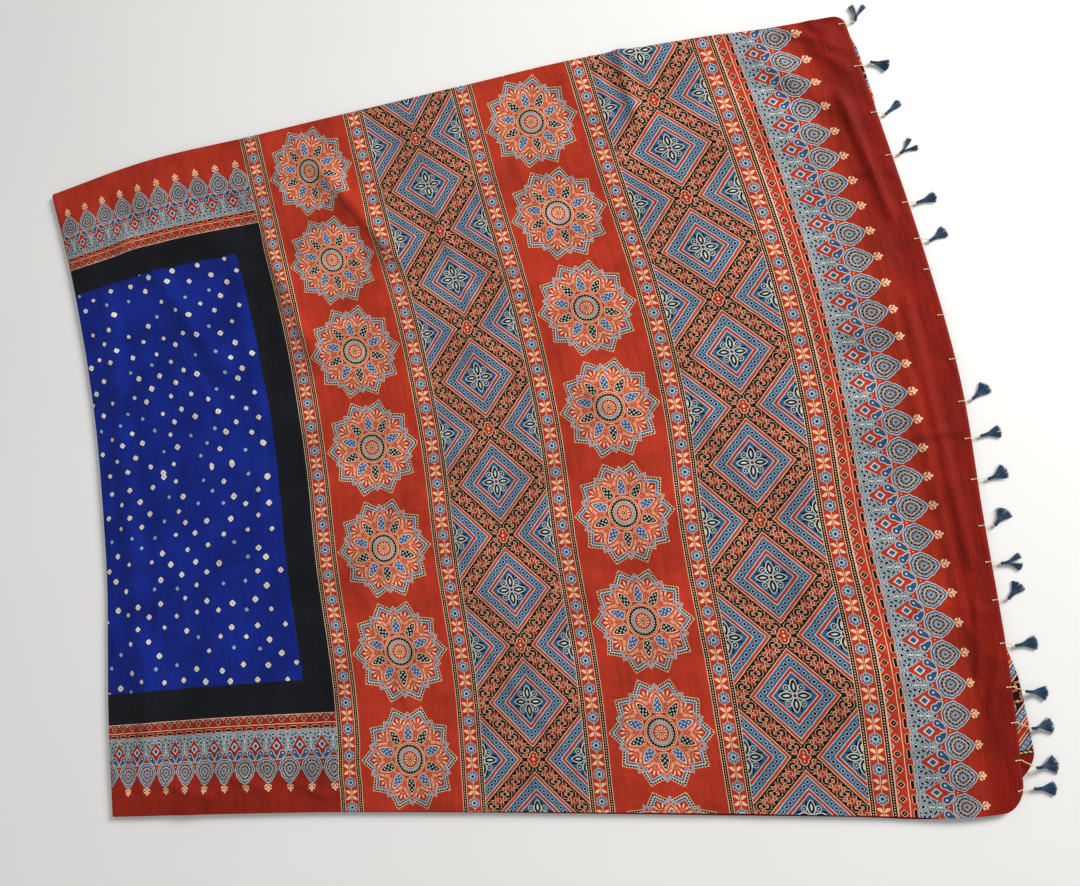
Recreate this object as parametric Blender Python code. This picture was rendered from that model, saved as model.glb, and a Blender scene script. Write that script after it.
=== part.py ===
"""Printed and tie-dyed saree, folded in four and laid flat, its tasselled end on top."""
import math
from collections import namedtuple

import bmesh
import bpy
from mathutils import Vector

# Sizes of the cloth, in metres. The frame has X along the length, Y across it and Z up.
CLOTH_WIDTH = 1.10
CLOTH_THICK = 0.0010
LAYER_GAP = 0.0012
LAYER_RISE = CLOTH_THICK + LAYER_GAP
LAYERS = 4
HALF_TURN = math.pi

# How the top layer lies. One row for each printed line that crosses the saree: its distance
# from the end hem, where its two ends lie across the surface, and its place along the surface
# at seven stops over the width.
Line = namedtuple("Line", "name along upper lower x0 x1 x2 x3 x4 x5 x6")
STOPS = (0.0, 0.18, 0.37, 0.55, 0.73, 0.92, 1.10)
LINES = (
    Line("end hem", 0.000, 0.479, -0.612, 0.655, 0.668, 0.679, 0.681, 0.665, 0.649, 0.625),
    Line("arch row", 0.093, 0.495, -0.611, 0.553, 0.576, 0.590, 0.589, 0.579, 0.575, 0.553),
    Line("border 5", 0.192, 0.515, -0.595, 0.456, 0.475, 0.489, 0.492, 0.481, 0.476, 0.455),
    Line("border 4", 0.380, 0.545, -0.567, 0.270, 0.285, 0.303, 0.307, 0.295, 0.288, 0.276),
    Line("border 3", 0.567, 0.563, -0.539, 0.086, 0.099, 0.115, 0.119, 0.109, 0.104, 0.088),
    Line("border 2", 0.752, 0.581, -0.512, -0.098, -0.087, -0.068, -0.064, -0.073, -0.078, -0.097),
    Line("border 1", 0.940, 0.599, -0.486, -0.285, -0.272, -0.258, -0.256, -0.266, -0.269, -0.287),
    Line("tied field", 1.130, 0.618, -0.460, -0.479, -0.462, -0.450, -0.451, -0.463, -0.478, -0.493),
    Line("side fold", 1.330, 0.616, -0.436, -0.672, -0.651, -0.642, -0.645, -0.660, -0.688, -0.699),
)
HEM_CORNER = 0.034
HEM_TOP_CORNER = 0.014

# Creases of the cloth: a soft ridge from one point to another, with its height and half-width.
Crease = namedtuple("Crease", "name x0 y0 x1 y1 high half")
CREASES = (
    Crease("slanting fold by border 2", -0.190, 0.540, -0.070, 0.330, 0.0050, 0.034),
    Crease("kink across border 1", -0.275, 0.390, -0.235, 0.230, 0.0045, 0.030),
    Crease("ridge in the tied field", -0.530, 0.480, -0.400, 0.240, 0.0040, 0.040),
    Crease("ripple by the side fold, top", -0.585, 0.400, -0.600, 0.100, 0.0050, 0.030),
    Crease("ripple by the side fold, low", -0.598, 0.050, -0.620, -0.330, 0.0045, 0.030),
    Crease("crease right of the tied field", -0.338, 0.420, -0.345, 0.180, 0.0030, 0.028),
    Crease("pucker at the upper edge", 0.335, 0.560, 0.345, 0.430, 0.0035, 0.028),
    Crease("upper corner fold", 0.540, 0.440, 0.620, 0.350, 0.0050, 0.030),
    Crease("fold through the stars", 0.150, 0.180, 0.260, -0.120, 0.0025, 0.045),
    Crease("fold by the low star row", -0.020, -0.150, 0.060, -0.400, 0.0025, 0.045),
    Crease("swell in the plain end", 0.625, 0.150, 0.618, -0.200, 0.0030, 0.030),
    Crease("fold in the lower left edge", -0.560, -0.440, -0.400, -0.380, 0.0040, 0.030),
    Crease("fold in the lower edge", -0.330, -0.440, -0.190, -0.400, 0.0030, 0.030),
)
HEM_CALM = 0.030

# The three hidden layers end a little inside or outside the top one. Each row is a place across
# the width and how far the inner end of the saree passes the end hem there.
InnerEnd = namedtuple("InnerEnd", "across past")
INNER_END = (
    InnerEnd(0.000, -0.005),
    InnerEnd(0.050, 0.004),
    InnerEnd(0.130, 0.003),
    InnerEnd(0.220, -0.010),
    InnerEnd(0.860, -0.010),
    InnerEnd(0.912, 0.000),
    InnerEnd(0.960, 0.016),
    InnerEnd(1.020, 0.021),
    InnerEnd(1.100, 0.012),
)
INNER_CORNER = 0.050
MIDDLE_FOLD_BACK = 0.014
INNER_FOLD_BACK = 0.004
Inset = namedtuple("Inset", "upper lower")
LAYER_INSET = (Inset(0.0, 0.0), Inset(0.004, 0.028), Inset(0.002, 0.003), Inset(0.005, 0.002))

# Steps of the cloth's mesh, with a few close ones where its corners are rounded.
CLOSE_STEPS = (0.0, 0.006, 0.014, 0.024, 0.038)
ACROSS_STEPS = 24
TOP_STEPS = 41
UNDER_STEPS = 8
BEND_STEPS = 4

# Tassels: place along the end hem, thread length and direction, skirt direction, fan angle and
# the height of the head's centre. Directions are degrees from +X.
Tassel = namedtuple("Tassel", "across thread toward skirt fan lift")
TASSELS = (
    Tassel(0.014, 0.015, 10.0, 69.0, 62.0, 0.0034),
    Tassel(0.082, 0.016, 8.0, -30.0, 44.0, 0.0034),
    Tassel(0.155, 0.013, -20.0, 29.0, 22.0, 0.0034),
    Tassel(0.221, 0.013, 3.0, 25.0, 66.0, 0.0034),
    Tassel(0.293, 0.013, -12.0, 6.0, 34.0, 0.0034),
    Tassel(0.347, 0.014, -22.0, 20.0, 46.0, 0.0034),
    Tassel(0.578, 0.012, 6.0, 28.0, 50.0, 0.0034),
    Tassel(0.628, 0.014, 2.0, 3.0, 40.0, 0.0034),
    Tassel(0.682, 0.015, -10.0, 8.0, 54.0, 0.0034),
    Tassel(0.743, 0.014, -8.0, 42.0, 60.0, 0.0034),
    Tassel(0.790, 0.014, -20.0, -4.0, 58.0, 0.0034),
    Tassel(0.839, 0.014, -4.0, 38.0, 48.0, 0.0034),
    Tassel(0.894, 0.014, -25.0, 0.0, 40.0, 0.0034),
    Tassel(0.949, 0.018, -28.0, -16.0, 42.0, 0.0094),
    Tassel(0.993, 0.020, -30.0, -4.0, 50.0, 0.0094),
    Tassel(1.039, 0.021, -34.0, -2.0, 62.0, 0.0094),
    Tassel(1.078, 0.015, -8.0, -8.0, 40.0, 0.0034),
)
KNOTS = (0.392, 0.458, 0.520)

HEAD_BACK = 0.0010
KNOB_RADIUS = 0.0026
NECK_RADIUS = 0.0018
ROOT_WIDE = 0.0042
ROOT_HIGH = 0.0026
HEAD_LENGTH = 0.0075
LOCKS_WIDE = 4
LOCKS_HIGH = 2
LOCK_LENGTH = 0.0200
LOCK_WIDE = 0.0026
LOCK_THICK = 0.0022
LOCK_GAP = 0.0005
LOCK_SHRINK = 0.62

THREAD_WIDE = 0.0011
THREAD_THICK = 0.0007
THREAD_SIDES = 6
STITCH_INSIDE = 0.008
CLEARANCE = 0.0006

MADDER_RED = (0.42, 0.045, 0.020, 1.0)
TASSEL_BLUE = (0.022, 0.100, 0.220, 1.0)
THREAD_CREAM = (0.72, 0.60, 0.42, 1.0)


def clear_scene():
    """Remove every object that the empty scene starts with."""
    for thing in list(bpy.data.objects):
        bpy.data.objects.remove(thing, do_unlink=True)


def cloth_material(name, colour, roughness):
    """A plain dyed fibre material."""
    material = bpy.data.materials.new(name)
    material.use_nodes = True
    principled = material.node_tree.nodes["Principled BSDF"]
    principled.inputs["Base Color"].default_value = colour
    principled.inputs["Roughness"].default_value = roughness
    principled.inputs["Metallic"].default_value = 0.0
    material.diffuse_color = colour
    return material


def smooth_between(stops, values, place):
    """Value at a place between stops, along a smooth curve through all of them."""
    last = len(stops) - 1
    index = 0
    while index < last - 1 and place > stops[index + 1]:
        index += 1

    def slope(k):
        low = max(k - 1, 0)
        high = min(k + 1, last)
        return (values[high] - values[low]) / (stops[high] - stops[low])

    span = stops[index + 1] - stops[index]
    part = min(max((place - stops[index]) / span, 0.0), 1.0)
    square = part * part
    cube = square * part
    start = (2 * cube - 3 * square + 1) * values[index] + (cube - 2 * square + part) * span * slope(index)
    end = (3 * square - 2 * cube) * values[index + 1] + (cube - square) * span * slope(index + 1)
    return start + end


def straight_between(stops, values, place):
    """Value at a place between stops, along straight pieces."""
    if place <= stops[0]:
        return values[0]
    for k in range(len(stops) - 1):
        if place <= stops[k + 1]:
            part = (place - stops[k]) / (stops[k + 1] - stops[k])
            return values[k] + part * (values[k + 1] - values[k])
    return values[-1]


ALONG = tuple(line.along for line in LINES)
UPPER = tuple(line.upper for line in LINES)
LOWER = tuple(line.lower for line in LINES)
FOLD_ALONG = ALONG[-1]


def line_place(line, across):
    """Place along the surface where one printed line passes a point of the width."""
    return smooth_between(STOPS, line[4:], across)


def round_corner(along, across, corner, edge):
    """Move a point of a square corner of the cloth onto a rounded one."""
    a = (corner - along) / corner
    b = (corner - edge) / corner
    if a <= 0.0 or b <= 0.0:
        return along, across
    turn = 1.0 if across > CLOTH_WIDTH / 2 else -1.0
    new_a = a * math.sqrt(1.0 - b * b / 2.0)
    new_b = b * math.sqrt(1.0 - a * a / 2.0)
    return corner * (1.0 - new_a), across + turn * corner * (new_b - b)


def top_place(along, across):
    """Place on the surface of a point of the top layer."""
    along, across = round_corner(along, across, HEM_CORNER, CLOTH_WIDTH - across)
    along, across = round_corner(along, across, HEM_TOP_CORNER, across)
    x = smooth_between(ALONG, [line_place(line, across) for line in LINES], along)
    upper = smooth_between(ALONG, UPPER, along)
    lower = smooth_between(ALONG, LOWER, along)
    return x, upper + (lower - upper) * across / CLOTH_WIDTH


def graded(length, steps, both_ends):
    """Places from 0 to a length, close together at the start and maybe at the end."""
    far = length - CLOSE_STEPS[-1] if both_ends else length
    near = CLOSE_STEPS[-1]
    places = list(CLOSE_STEPS)
    places += [near + (far - near) * k / steps for k in range(1, steps + 1)]
    if both_ends:
        places += [length - close for close in reversed(CLOSE_STEPS[:-1])]
    return places


def crease_height(x, y):
    """Height that the soft ridges add at a point of the surface."""
    total = 0.0
    for crease in CREASES:
        run_x = crease.x1 - crease.x0
        run_y = crease.y1 - crease.y0
        length = math.hypot(run_x, run_y)
        along = ((x - crease.x0) * run_x + (y - crease.y0) * run_y) / length
        aside = ((x - crease.x0) * run_y - (y - crease.y0) * run_x) / length
        past = max(-along, along - length, 0.0)
        away = math.hypot(aside / crease.half, past / (crease.half * 1.6))
        if away < 1.0:
            total += crease.high * (0.5 + 0.5 * math.cos(HALF_TURN * away))
    return total


def calm_near_edges(along):
    """Share of the creases left at a distance from the end hem and from the side fold."""
    near = min(along, FOLD_ALONG - along)
    part = min(max(near / HEM_CALM, 0.0), 1.0)
    return part * part * (3.0 - 2.0 * part)


def layer_point(layer, share, across):
    """Middle of one layer, from the end hem side (share 0) to the side fold (share 1)."""
    rest = (LAYERS - 1 - layer) * LAYER_RISE + CLOTH_THICK / 2
    if layer > 0:
        x, y = under_place(layer, share, across)
        return Vector((x, y, rest))
    along = share * FOLD_ALONG
    x, y = top_place(along, across)
    return Vector((x, y, rest + crease_height(x, y) * calm_near_edges(along)))


def under_place(layer, share, across):
    """Place on the surface of a point of a layer under the top one."""
    inset = LAYER_INSET[layer]
    along = share * FOLD_ALONG
    back = INNER_FOLD_BACK if layer in (1, 2) else 0.0
    if layer == 1:
        past = straight_between([row.across for row in INNER_END], [row.past for row in INNER_END], across)
    else:
        past = -MIDDLE_FOLD_BACK
    along, across = round_corner(along, across, INNER_CORNER, CLOTH_WIDTH - across)
    hem_x = smooth_between(STOPS, LINES[0][4:], across) + past
    fold_x = smooth_between(STOPS, LINES[-1][4:], across) + back
    share = along / FOLD_ALONG
    upper = smooth_between(ALONG, UPPER, along) - inset.upper
    lower = smooth_between(ALONG, LOWER, along) + inset.lower
    return hem_x + (fold_x - hem_x) * share, upper + (lower - upper) * across / CLOTH_WIDTH


def bend_points(centre_low, centre_high, side):
    """Points of a half-round bend from the higher layer to the lower one."""
    middle = (centre_low + centre_high) / 2
    radius = (centre_high.z - centre_low.z) / 2
    points = []
    for step in range(1, BEND_STEPS):
        angle = HALF_TURN * step / BEND_STEPS
        out = side * radius * math.sin(angle)
        points.append(middle + Vector((out, 0.0, radius * math.cos(angle))))
    return points


def section(across):
    """Middle line of the folded cloth at one place of its width, from the end hem inward."""
    top = [layer_point(0, along / FOLD_ALONG, across) for along in graded(FOLD_ALONG, TOP_STEPS, False)]
    steps = [along / FOLD_ALONG for along in graded(FOLD_ALONG, UNDER_STEPS, False)]
    bottom = [layer_point(3, share, across) for share in reversed(steps)]
    third = [layer_point(2, share, across) for share in steps]
    second = [layer_point(1, share, across) for share in reversed(steps)]
    points = list(top)
    points += bend_points(bottom[0], top[-1], -1.0)
    points += bottom
    points += list(reversed(bend_points(bottom[-1], third[0], 1.0)))
    points += third
    points += list(reversed(bend_points(third[-1], second[0], -1.0)))
    points += second
    return points


def section_sides(points):
    """Both faces of the cloth at one section, half a thickness off its middle line."""
    first = []
    second = []
    last = len(points) - 1
    for k, point in enumerate(points):
        before = points[max(k - 1, 0)]
        after = points[min(k + 1, last)]
        run = Vector((after.x - before.x, 0.0, after.z - before.z)).normalized()
        normal = Vector((-run.z, 0.0, run.x)) * (CLOTH_THICK / 2)
        first.append(point + normal)
        second.append(point - normal)
    return first, second


def mesh_object(name, verts, faces, material, smooth=True):
    """A closed mesh object with its faces turned outward."""
    mesh = bpy.data.meshes.new(name)
    mesh.from_pydata([tuple(v) for v in verts], [], faces)
    work = bmesh.new()
    work.from_mesh(mesh)
    bmesh.ops.recalc_face_normals(work, faces=work.faces)
    bmesh.ops.triangulate(work, faces=work.faces)
    work.to_mesh(mesh)
    work.free()
    for polygon in mesh.polygons:
        polygon.use_smooth = smooth
    mesh.materials.append(material)
    thing = bpy.data.objects.new(name, mesh)
    bpy.context.scene.collection.objects.link(thing)
    return thing


def build_cloth(material):
    """The whole saree as one folded sheet."""
    columns = [section(across) for across in graded(CLOTH_WIDTH, ACROSS_STEPS, True)]
    sides = [section_sides(points) for points in columns]
    count = len(columns[0])
    last = len(columns) - 1
    verts = []
    for first, second in sides:
        verts += first
        verts += second
    stride = 2 * count
    faces = []
    for k in range(last):
        here = k * stride
        there = here + stride
        for j in range(count - 1):
            faces.append((here + j, here + j + 1, there + j + 1, there + j))
            faces.append((here + count + j, there + count + j, there + count + j + 1, here + count + j + 1))
        for j in (0, count - 1):
            faces.append((here + j, there + j, there + count + j, here + count + j))
    for here in (0, last * stride):
        for j in range(count - 1):
            faces.append((here + j, here + j + 1, here + count + j + 1, here + count + j))
    return mesh_object("cloth", verts, faces, material)


def hem_point(across):
    """A point of the end hem at the middle of the top layer."""
    return layer_point(0, 0.0, across)


def heading(degrees):
    """Level direction at an angle from +X."""
    angle = math.radians(degrees)
    return Vector((math.cos(angle), math.sin(angle), 0.0))


def head_centre(row):
    """Centre of a tassel's knob."""
    start = hem_point(row.across)
    reach = heading(row.toward) * row.thread
    return Vector((start.x + reach.x, start.y + reach.y, row.lift))


def ring_spots():
    """Corners round a block of locks, in units of its half-width and half-height."""
    spots = []
    for k in range(LOCKS_WIDE + 1):
        spots.append((k, 0))
    for k in range(1, LOCKS_HIGH + 1):
        spots.append((LOCKS_WIDE, k))
    for k in range(LOCKS_WIDE - 1, -1, -1):
        spots.append((k, LOCKS_HIGH))
    for k in range(LOCKS_HIGH - 1, 0, -1):
        spots.append((0, k))
    return spots


def oval_spot(i, j, wide, high):
    """A corner of the grid of locks, drawn in to an oval."""
    u = 2.0 * i / LOCKS_WIDE - 1.0
    v = 2.0 * j / LOCKS_HIGH - 1.0
    return wide * u * math.sqrt(1.0 - v * v / 2.0), high * v * math.sqrt(1.0 - u * u / 2.0)


def build_tassel(number, row, material):
    """One tassel: a tied head with its locks grown out of it and resting on the floor."""
    centre = head_centre(row)
    out = heading(row.skirt)
    side = Vector((-out.y, out.x, 0.0))
    up = Vector((0.0, 0.0, 1.0))
    rings = (
        (-KNOB_RADIUS, HEAD_BACK, HEAD_BACK),
        (0.0, KNOB_RADIUS, KNOB_RADIUS),
        (HEAD_LENGTH * 0.55, NECK_RADIUS, NECK_RADIUS),
        (HEAD_LENGTH, ROOT_WIDE, ROOT_HIGH),
    )
    spots = ring_spots()
    verts = []
    faces = []
    for reach, wide, high in rings:
        for i, j in spots:
            a, b = oval_spot(i, j, wide, high)
            verts.append(centre + out * reach + side * a + up * b)
    size = len(spots)
    faces.append(tuple(range(size)))
    for ring in range(len(rings) - 1):
        for k in range(size):
            n = (k + 1) % size
            faces.append((ring * size + k, ring * size + n, (ring + 1) * size + n, (ring + 1) * size + k))
    front = (len(rings) - 1) * size
    grid = {}
    for k, spot in enumerate(spots):
        grid[spot] = front + k
    for i in range(1, LOCKS_WIDE):
        for j in range(1, LOCKS_HIGH):
            a, b = oval_spot(i, j, ROOT_WIDE, ROOT_HIGH)
            grid[(i, j)] = len(verts)
            verts.append(centre + out * HEAD_LENGTH + side * a + up * b)
    drop = row.lift
    for i in range(LOCKS_WIDE):
        for j in range(LOCKS_HIGH):
            corners = [grid[(i, j)], grid[(i + 1, j)], grid[(i + 1, j + 1)], grid[(i, j + 1)]]
            root = sum((verts[k] for k in corners), Vector()) / 4
            inner = []
            for k in corners:
                inner.append(len(verts))
                verts.append(root + (verts[k] - root) * LOCK_SHRINK)
            for k in range(4):
                n = (k + 1) % 4
                faces.append((corners[k], corners[n], inner[n], inner[k]))
            turn = row.fan * ((i + 0.5) / LOCKS_WIDE - 0.5) + (3.0 if j else -3.0)
            way = heading(row.skirt + turn)
            aside = Vector((-way.y, way.x, 0.0))
            length = LOCK_LENGTH * (1.0 - 0.10 * ((i + j) % 2))
            rest = LOCK_THICK / 2 + j * (LOCK_THICK + LOCK_GAP)
            base = inner
            for share, wide in ((0.55, 0.80), (1.0, 1.0)):
                spot = root + way * (length * share)
                fall = min(1.0, share / 0.55)
                spot.z = centre.z - drop + rest + (root.z - rest) * (1.0 - fall)
                ring = []
                for du, dv in ((-1, -1), (1, -1), (1, 1), (-1, 1)):
                    half = aside * (du * LOCK_WIDE / 2 * wide)
                    ring.append(len(verts))
                    verts.append(spot + half + up * (dv * LOCK_THICK / 2))
                for k in range(4):
                    n = (k + 1) % 4
                    faces.append((base[k], base[n], ring[n], ring[k]))
                base = ring
            faces.append(tuple(base))
    return mesh_object("tassel_%02d" % number, verts, faces, material)


def thread_path(across, end):
    """Way of a tie from its stitch on the hem, over the edge and out to its end."""
    inside = layer_point(0, STITCH_INSIDE / FOLD_ALONG, across)
    edge = hem_point(across)
    above = CLOTH_THICK / 2 + CLEARANCE + THREAD_THICK
    way = Vector((edge.x - inside.x, edge.y - inside.y, 0.0)).normalized()
    path = [inside + Vector((0.0, 0.0, above)), edge + way * 0.001 + Vector((0.0, 0.0, above))]
    if end is not None:
        path.append(edge + (end - edge) * 0.45 + Vector((0.0, 0.0, above * 0.4)))
        path.append(end)
    return path


def build_thread(name, path, material):
    """A flat pair of threads along a path, as one solid."""
    verts = []
    faces = []
    last = len(path) - 1
    for k, point in enumerate(path):
        run = (path[min(k + 1, last)] - path[max(k - 1, 0)]).normalized()
        side = Vector((-run.y, run.x, 0.0)).normalized()
        lift = run.cross(side)
        if lift.z < 0.0:
            lift = -lift
        for step in range(THREAD_SIDES):
            angle = 2.0 * HALF_TURN * step / THREAD_SIDES
            verts.append(point + side * (THREAD_WIDE * math.cos(angle)) + lift * (THREAD_THICK * math.sin(angle)))
    for k in range(last):
        for step in range(THREAD_SIDES):
            n = (step + 1) % THREAD_SIDES
            here = k * THREAD_SIDES
            there = here + THREAD_SIDES
            faces.append((here + step, here + n, there + n, there + step))
    faces.append(tuple(range(THREAD_SIDES)))
    faces.append(tuple(range(last * THREAD_SIDES, (last + 1) * THREAD_SIDES)))
    return mesh_object(name, verts, faces, material)


def main():
    clear_scene()
    dyed = cloth_material("printed_cotton", MADDER_RED, 0.85)
    blue = cloth_material("tassel_thread", TASSEL_BLUE, 0.75)
    cream = cloth_material("tie_thread", THREAD_CREAM, 0.75)
    build_cloth(dyed)
    for number, row in enumerate(TASSELS, start=1):
        build_tassel(number, row, blue)
        centre = head_centre(row)
        start = hem_point(row.across)
        back = Vector((start.x - centre.x, start.y - centre.y, 0.0)).normalized()
        end = centre + back * (KNOB_RADIUS + THREAD_WIDE + CLEARANCE)
        build_thread("tie_%02d" % number, thread_path(row.across, end), cream)
    for number, across in enumerate(KNOTS, start=1):
        build_thread("knot_%02d" % number, thread_path(across, None), cream)


main()
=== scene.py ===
import math
import random
from collections import namedtuple
from functools import partialmethod

import bpy
import numpy as np
from mathutils import Matrix, Vector, noise


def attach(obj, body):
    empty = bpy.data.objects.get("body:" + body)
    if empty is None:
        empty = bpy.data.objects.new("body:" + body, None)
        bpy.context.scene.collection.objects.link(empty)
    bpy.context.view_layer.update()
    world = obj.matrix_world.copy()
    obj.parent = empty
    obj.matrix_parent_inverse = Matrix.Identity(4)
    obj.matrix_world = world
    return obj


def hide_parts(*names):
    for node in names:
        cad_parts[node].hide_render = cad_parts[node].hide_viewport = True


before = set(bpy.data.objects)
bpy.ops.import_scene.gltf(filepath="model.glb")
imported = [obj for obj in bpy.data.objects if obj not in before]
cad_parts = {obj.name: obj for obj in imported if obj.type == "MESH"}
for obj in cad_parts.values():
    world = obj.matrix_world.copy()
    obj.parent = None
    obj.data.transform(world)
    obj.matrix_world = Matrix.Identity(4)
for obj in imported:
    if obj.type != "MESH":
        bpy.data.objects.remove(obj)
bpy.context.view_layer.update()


def table(columns, *rows):
    """A short table: rows of values under named columns."""
    row = namedtuple("Row", columns)
    return tuple(row(*values) for values in rows)


# A printed and tie-dyed saree, folded in four and laid flat with its tasselled end on top.
# Sizes are in metres. X runs along the folded length, Y across it and Z up.
CLOTH_WIDTH = 1.10
CLOTH_THICK = 0.0010
LAYER_RISE = 0.0022
LAYERS = 4
TURN = 2.0 * math.pi
UP = Vector((0.0, 0.0, 1.0))

# How the top layer lies: one row for each printed line across the saree, with its distance
# from the end hem, its two ends across the surface and its place along it at seven stops.
STOPS = (0.0, 0.18, 0.37, 0.55, 0.73, 0.92, 1.10)
LINES = table(
    "name along upper lower x0 x1 x2 x3 x4 x5 x6",
    ("end hem", 0.000, 0.479, -0.612, 0.655, 0.668, 0.679, 0.681, 0.665, 0.649, 0.625),
    ("arch row", 0.093, 0.495, -0.611, 0.553, 0.576, 0.590, 0.588, 0.577, 0.573, 0.553),
    ("border 5", 0.192, 0.515, -0.595, 0.456, 0.474, 0.489, 0.490, 0.477, 0.473, 0.454),
    ("border 4", 0.380, 0.545, -0.567, 0.270, 0.284, 0.302, 0.305, 0.291, 0.286, 0.276),
    ("border 3", 0.567, 0.563, -0.539, 0.086, 0.099, 0.115, 0.119, 0.109, 0.104, 0.088),
    ("border 2", 0.752, 0.581, -0.512, -0.098, -0.087, -0.068, -0.064, -0.073, -0.078, -0.097),
    ("border 1", 0.940, 0.599, -0.486, -0.285, -0.272, -0.258, -0.256, -0.266, -0.269, -0.287),
    ("tied field", 1.130, 0.618, -0.460, -0.479, -0.462, -0.450, -0.451, -0.463, -0.478, -0.493),
    ("side fold", 1.330, 0.616, -0.436, -0.672, -0.651, -0.642, -0.645, -0.658, -0.682, -0.699),
)
ALONG = tuple(line.along for line in LINES)
FOLD_ALONG = ALONG[-1]
# Where the side fold falls in the print, at the same stops.
FOLD_PRINT = (1.327, 1.319, 1.3245, 1.329, 1.334, 1.3595, 1.352)
HEM_CORNER = 0.034
HEM_TOP_CORNER = 0.014

# Soft ridges and troughs: a line from one point to another, its height and its half-width.
CREASE_COLUMNS = "name x0 y0 x1 y1 high half"
CREASES = table(
    CREASE_COLUMNS,
    ("slanting fold by border 2", -0.190, 0.540, -0.070, 0.330, 0.0050, 0.034),
    ("kink across border 1", -0.275, 0.390, -0.235, 0.230, 0.0045, 0.030),
    ("ridge in the tied field", -0.530, 0.480, -0.400, 0.240, 0.0040, 0.040),
    ("ripple by the side fold, top", -0.585, 0.400, -0.600, 0.100, 0.0050, 0.030),
    ("ripple by the side fold, low", -0.598, 0.050, -0.620, -0.330, 0.0045, 0.030),
    ("crease right of the tied field", -0.338, 0.420, -0.345, 0.180, 0.0030, 0.028),
    ("pucker at the upper edge", 0.335, 0.560, 0.345, 0.430, 0.0035, 0.028),
    ("upper corner fold", 0.540, 0.440, 0.620, 0.350, 0.0050, 0.030),
    ("fold through the stars", 0.150, 0.180, 0.260, -0.120, 0.0025, 0.045),
    ("fold by the low star row", -0.020, -0.150, 0.060, -0.400, 0.0025, 0.045),
    ("swell in the plain end", 0.625, 0.150, 0.618, -0.200, 0.0030, 0.030),
    ("fold in the lower left edge", -0.560, -0.440, -0.400, -0.380, 0.0040, 0.030),
    ("fold in the lower edge", -0.330, -0.440, -0.190, -0.400, 0.0030, 0.030),
)
FINE_CREASES = table(
    CREASE_COLUMNS,
    ("slanting line by border 2", -0.165, 0.500, -0.066, 0.325, 0.0032, 0.014),
    ("kink line across border 1", -0.262, 0.345, -0.243, 0.245, 0.0030, 0.012),
    ("line in the tied field", -0.500, 0.436, -0.415, 0.268, 0.0024, 0.014),
    ("second line in the tied field", -0.470, 0.300, -0.400, 0.120, 0.0016, 0.013),
    ("line by the side fold, low", -0.640, 0.050, -0.668, -0.260, 0.0022, 0.012),
    ("line by the side fold, top", -0.618, 0.350, -0.632, 0.080, 0.0018, 0.012),
    ("line right of the tied field", -0.312, 0.280, -0.364, -0.030, 0.0018, 0.009),
    ("pucker line", 0.338, 0.535, 0.342, 0.435, 0.0030, 0.012),
    ("second pucker line", 0.358, 0.525, 0.374, 0.455, 0.0020, 0.011),
    ("upper corner line", 0.582, 0.478, 0.640, 0.432, 0.0052, 0.012),
    ("second upper corner line", 0.612, 0.478, 0.628, 0.456, 0.0036, 0.010),
    ("third upper corner line", 0.606, 0.442, 0.654, 0.388, 0.0036, 0.013),
    ("fourth upper corner line", 0.632, 0.460, 0.648, 0.440, 0.0030, 0.009),
    ("storage crease, top", 0.560, 0.252, 0.672, 0.245, 0.0028, 0.009),
    ("storage crease, low", 0.560, -0.122, 0.660, -0.130, 0.0028, 0.009),
    ("streak by the hem", 0.640, 0.050, 0.636, -0.300, 0.0032, 0.011),
    ("second streak by the hem", 0.622, -0.050, 0.610, -0.380, 0.0020, 0.010),
    ("third streak by the hem", 0.625, 0.360, 0.650, 0.180, 0.0032, 0.011),
    ("pressed line near the low hem", 0.628, -0.355, 0.612, -0.440, 0.0024, 0.008),
    ("low hem line", 0.640, -0.425, 0.614, -0.485, 0.0024, 0.009),
    ("pressed cross line, low", 0.585, -0.345, 0.645, -0.367, 0.0016, 0.008),
    ("ripple in the low tied part", -0.564, -0.117, -0.603, -0.240, 0.0018, 0.014),
    ("edge ripple, low left", -0.655, -0.300, -0.640, -0.400, 0.0020, 0.012),
    ("pucker beside the upper stars", 0.296, 0.535, 0.306, 0.470, 0.0018, 0.011),
    ("slant in the lower left strip", -0.605, -0.398, -0.525, -0.428, 0.0034, 0.010),
    ("second slant in the strip", -0.500, -0.395, -0.430, -0.432, 0.0034, 0.010),
    ("third slant in the strip", -0.395, -0.418, -0.330, -0.455, 0.0032, 0.010),
    ("line in the upper lozenges", 0.004, 0.398, 0.038, 0.224, 0.0020, 0.015),
    ("line in the lower lozenges", -0.043, -0.276, 0.047, -0.434, 0.0020, 0.015),
    ("long line by border 4", 0.342, -0.009, 0.434, -0.337, 0.0016, 0.016),
    ("line over the upper stars", 0.150, 0.420, 0.190, 0.250, 0.0016, 0.015),
    ("line under the low stars", -0.210, -0.180, -0.160, -0.380, 0.0018, 0.015),
)
CREASE_TAPER = 1.6
EDGE_CALM = 0.030
UNEVEN_HIGH = 0.0012
UNEVEN_LONG = 0.110
UNEVEN_FINER = 2.3

# The hidden layers: how far the inner end passes the end hem at places across the width,
# and how far each layer's selvedges stand back from the top one's.
INNER_END = table(
    "across past",
    (0.000, -0.005), (0.050, 0.004), (0.130, 0.003), (0.220, -0.010), (0.860, -0.010),
    (0.912, 0.000), (0.960, 0.012), (1.020, 0.018), (1.060, 0.021), (1.100, 0.014),
)
INNER_CORNER = 0.036
MIDDLE_FOLD_BACK = 0.014
INNER_FOLD_BACK = 0.004
LAYER_INSET = table("upper lower", (0.0, 0.0), (0.004, 0.028), (0.002, 0.003), (0.005, 0.002))

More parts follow.
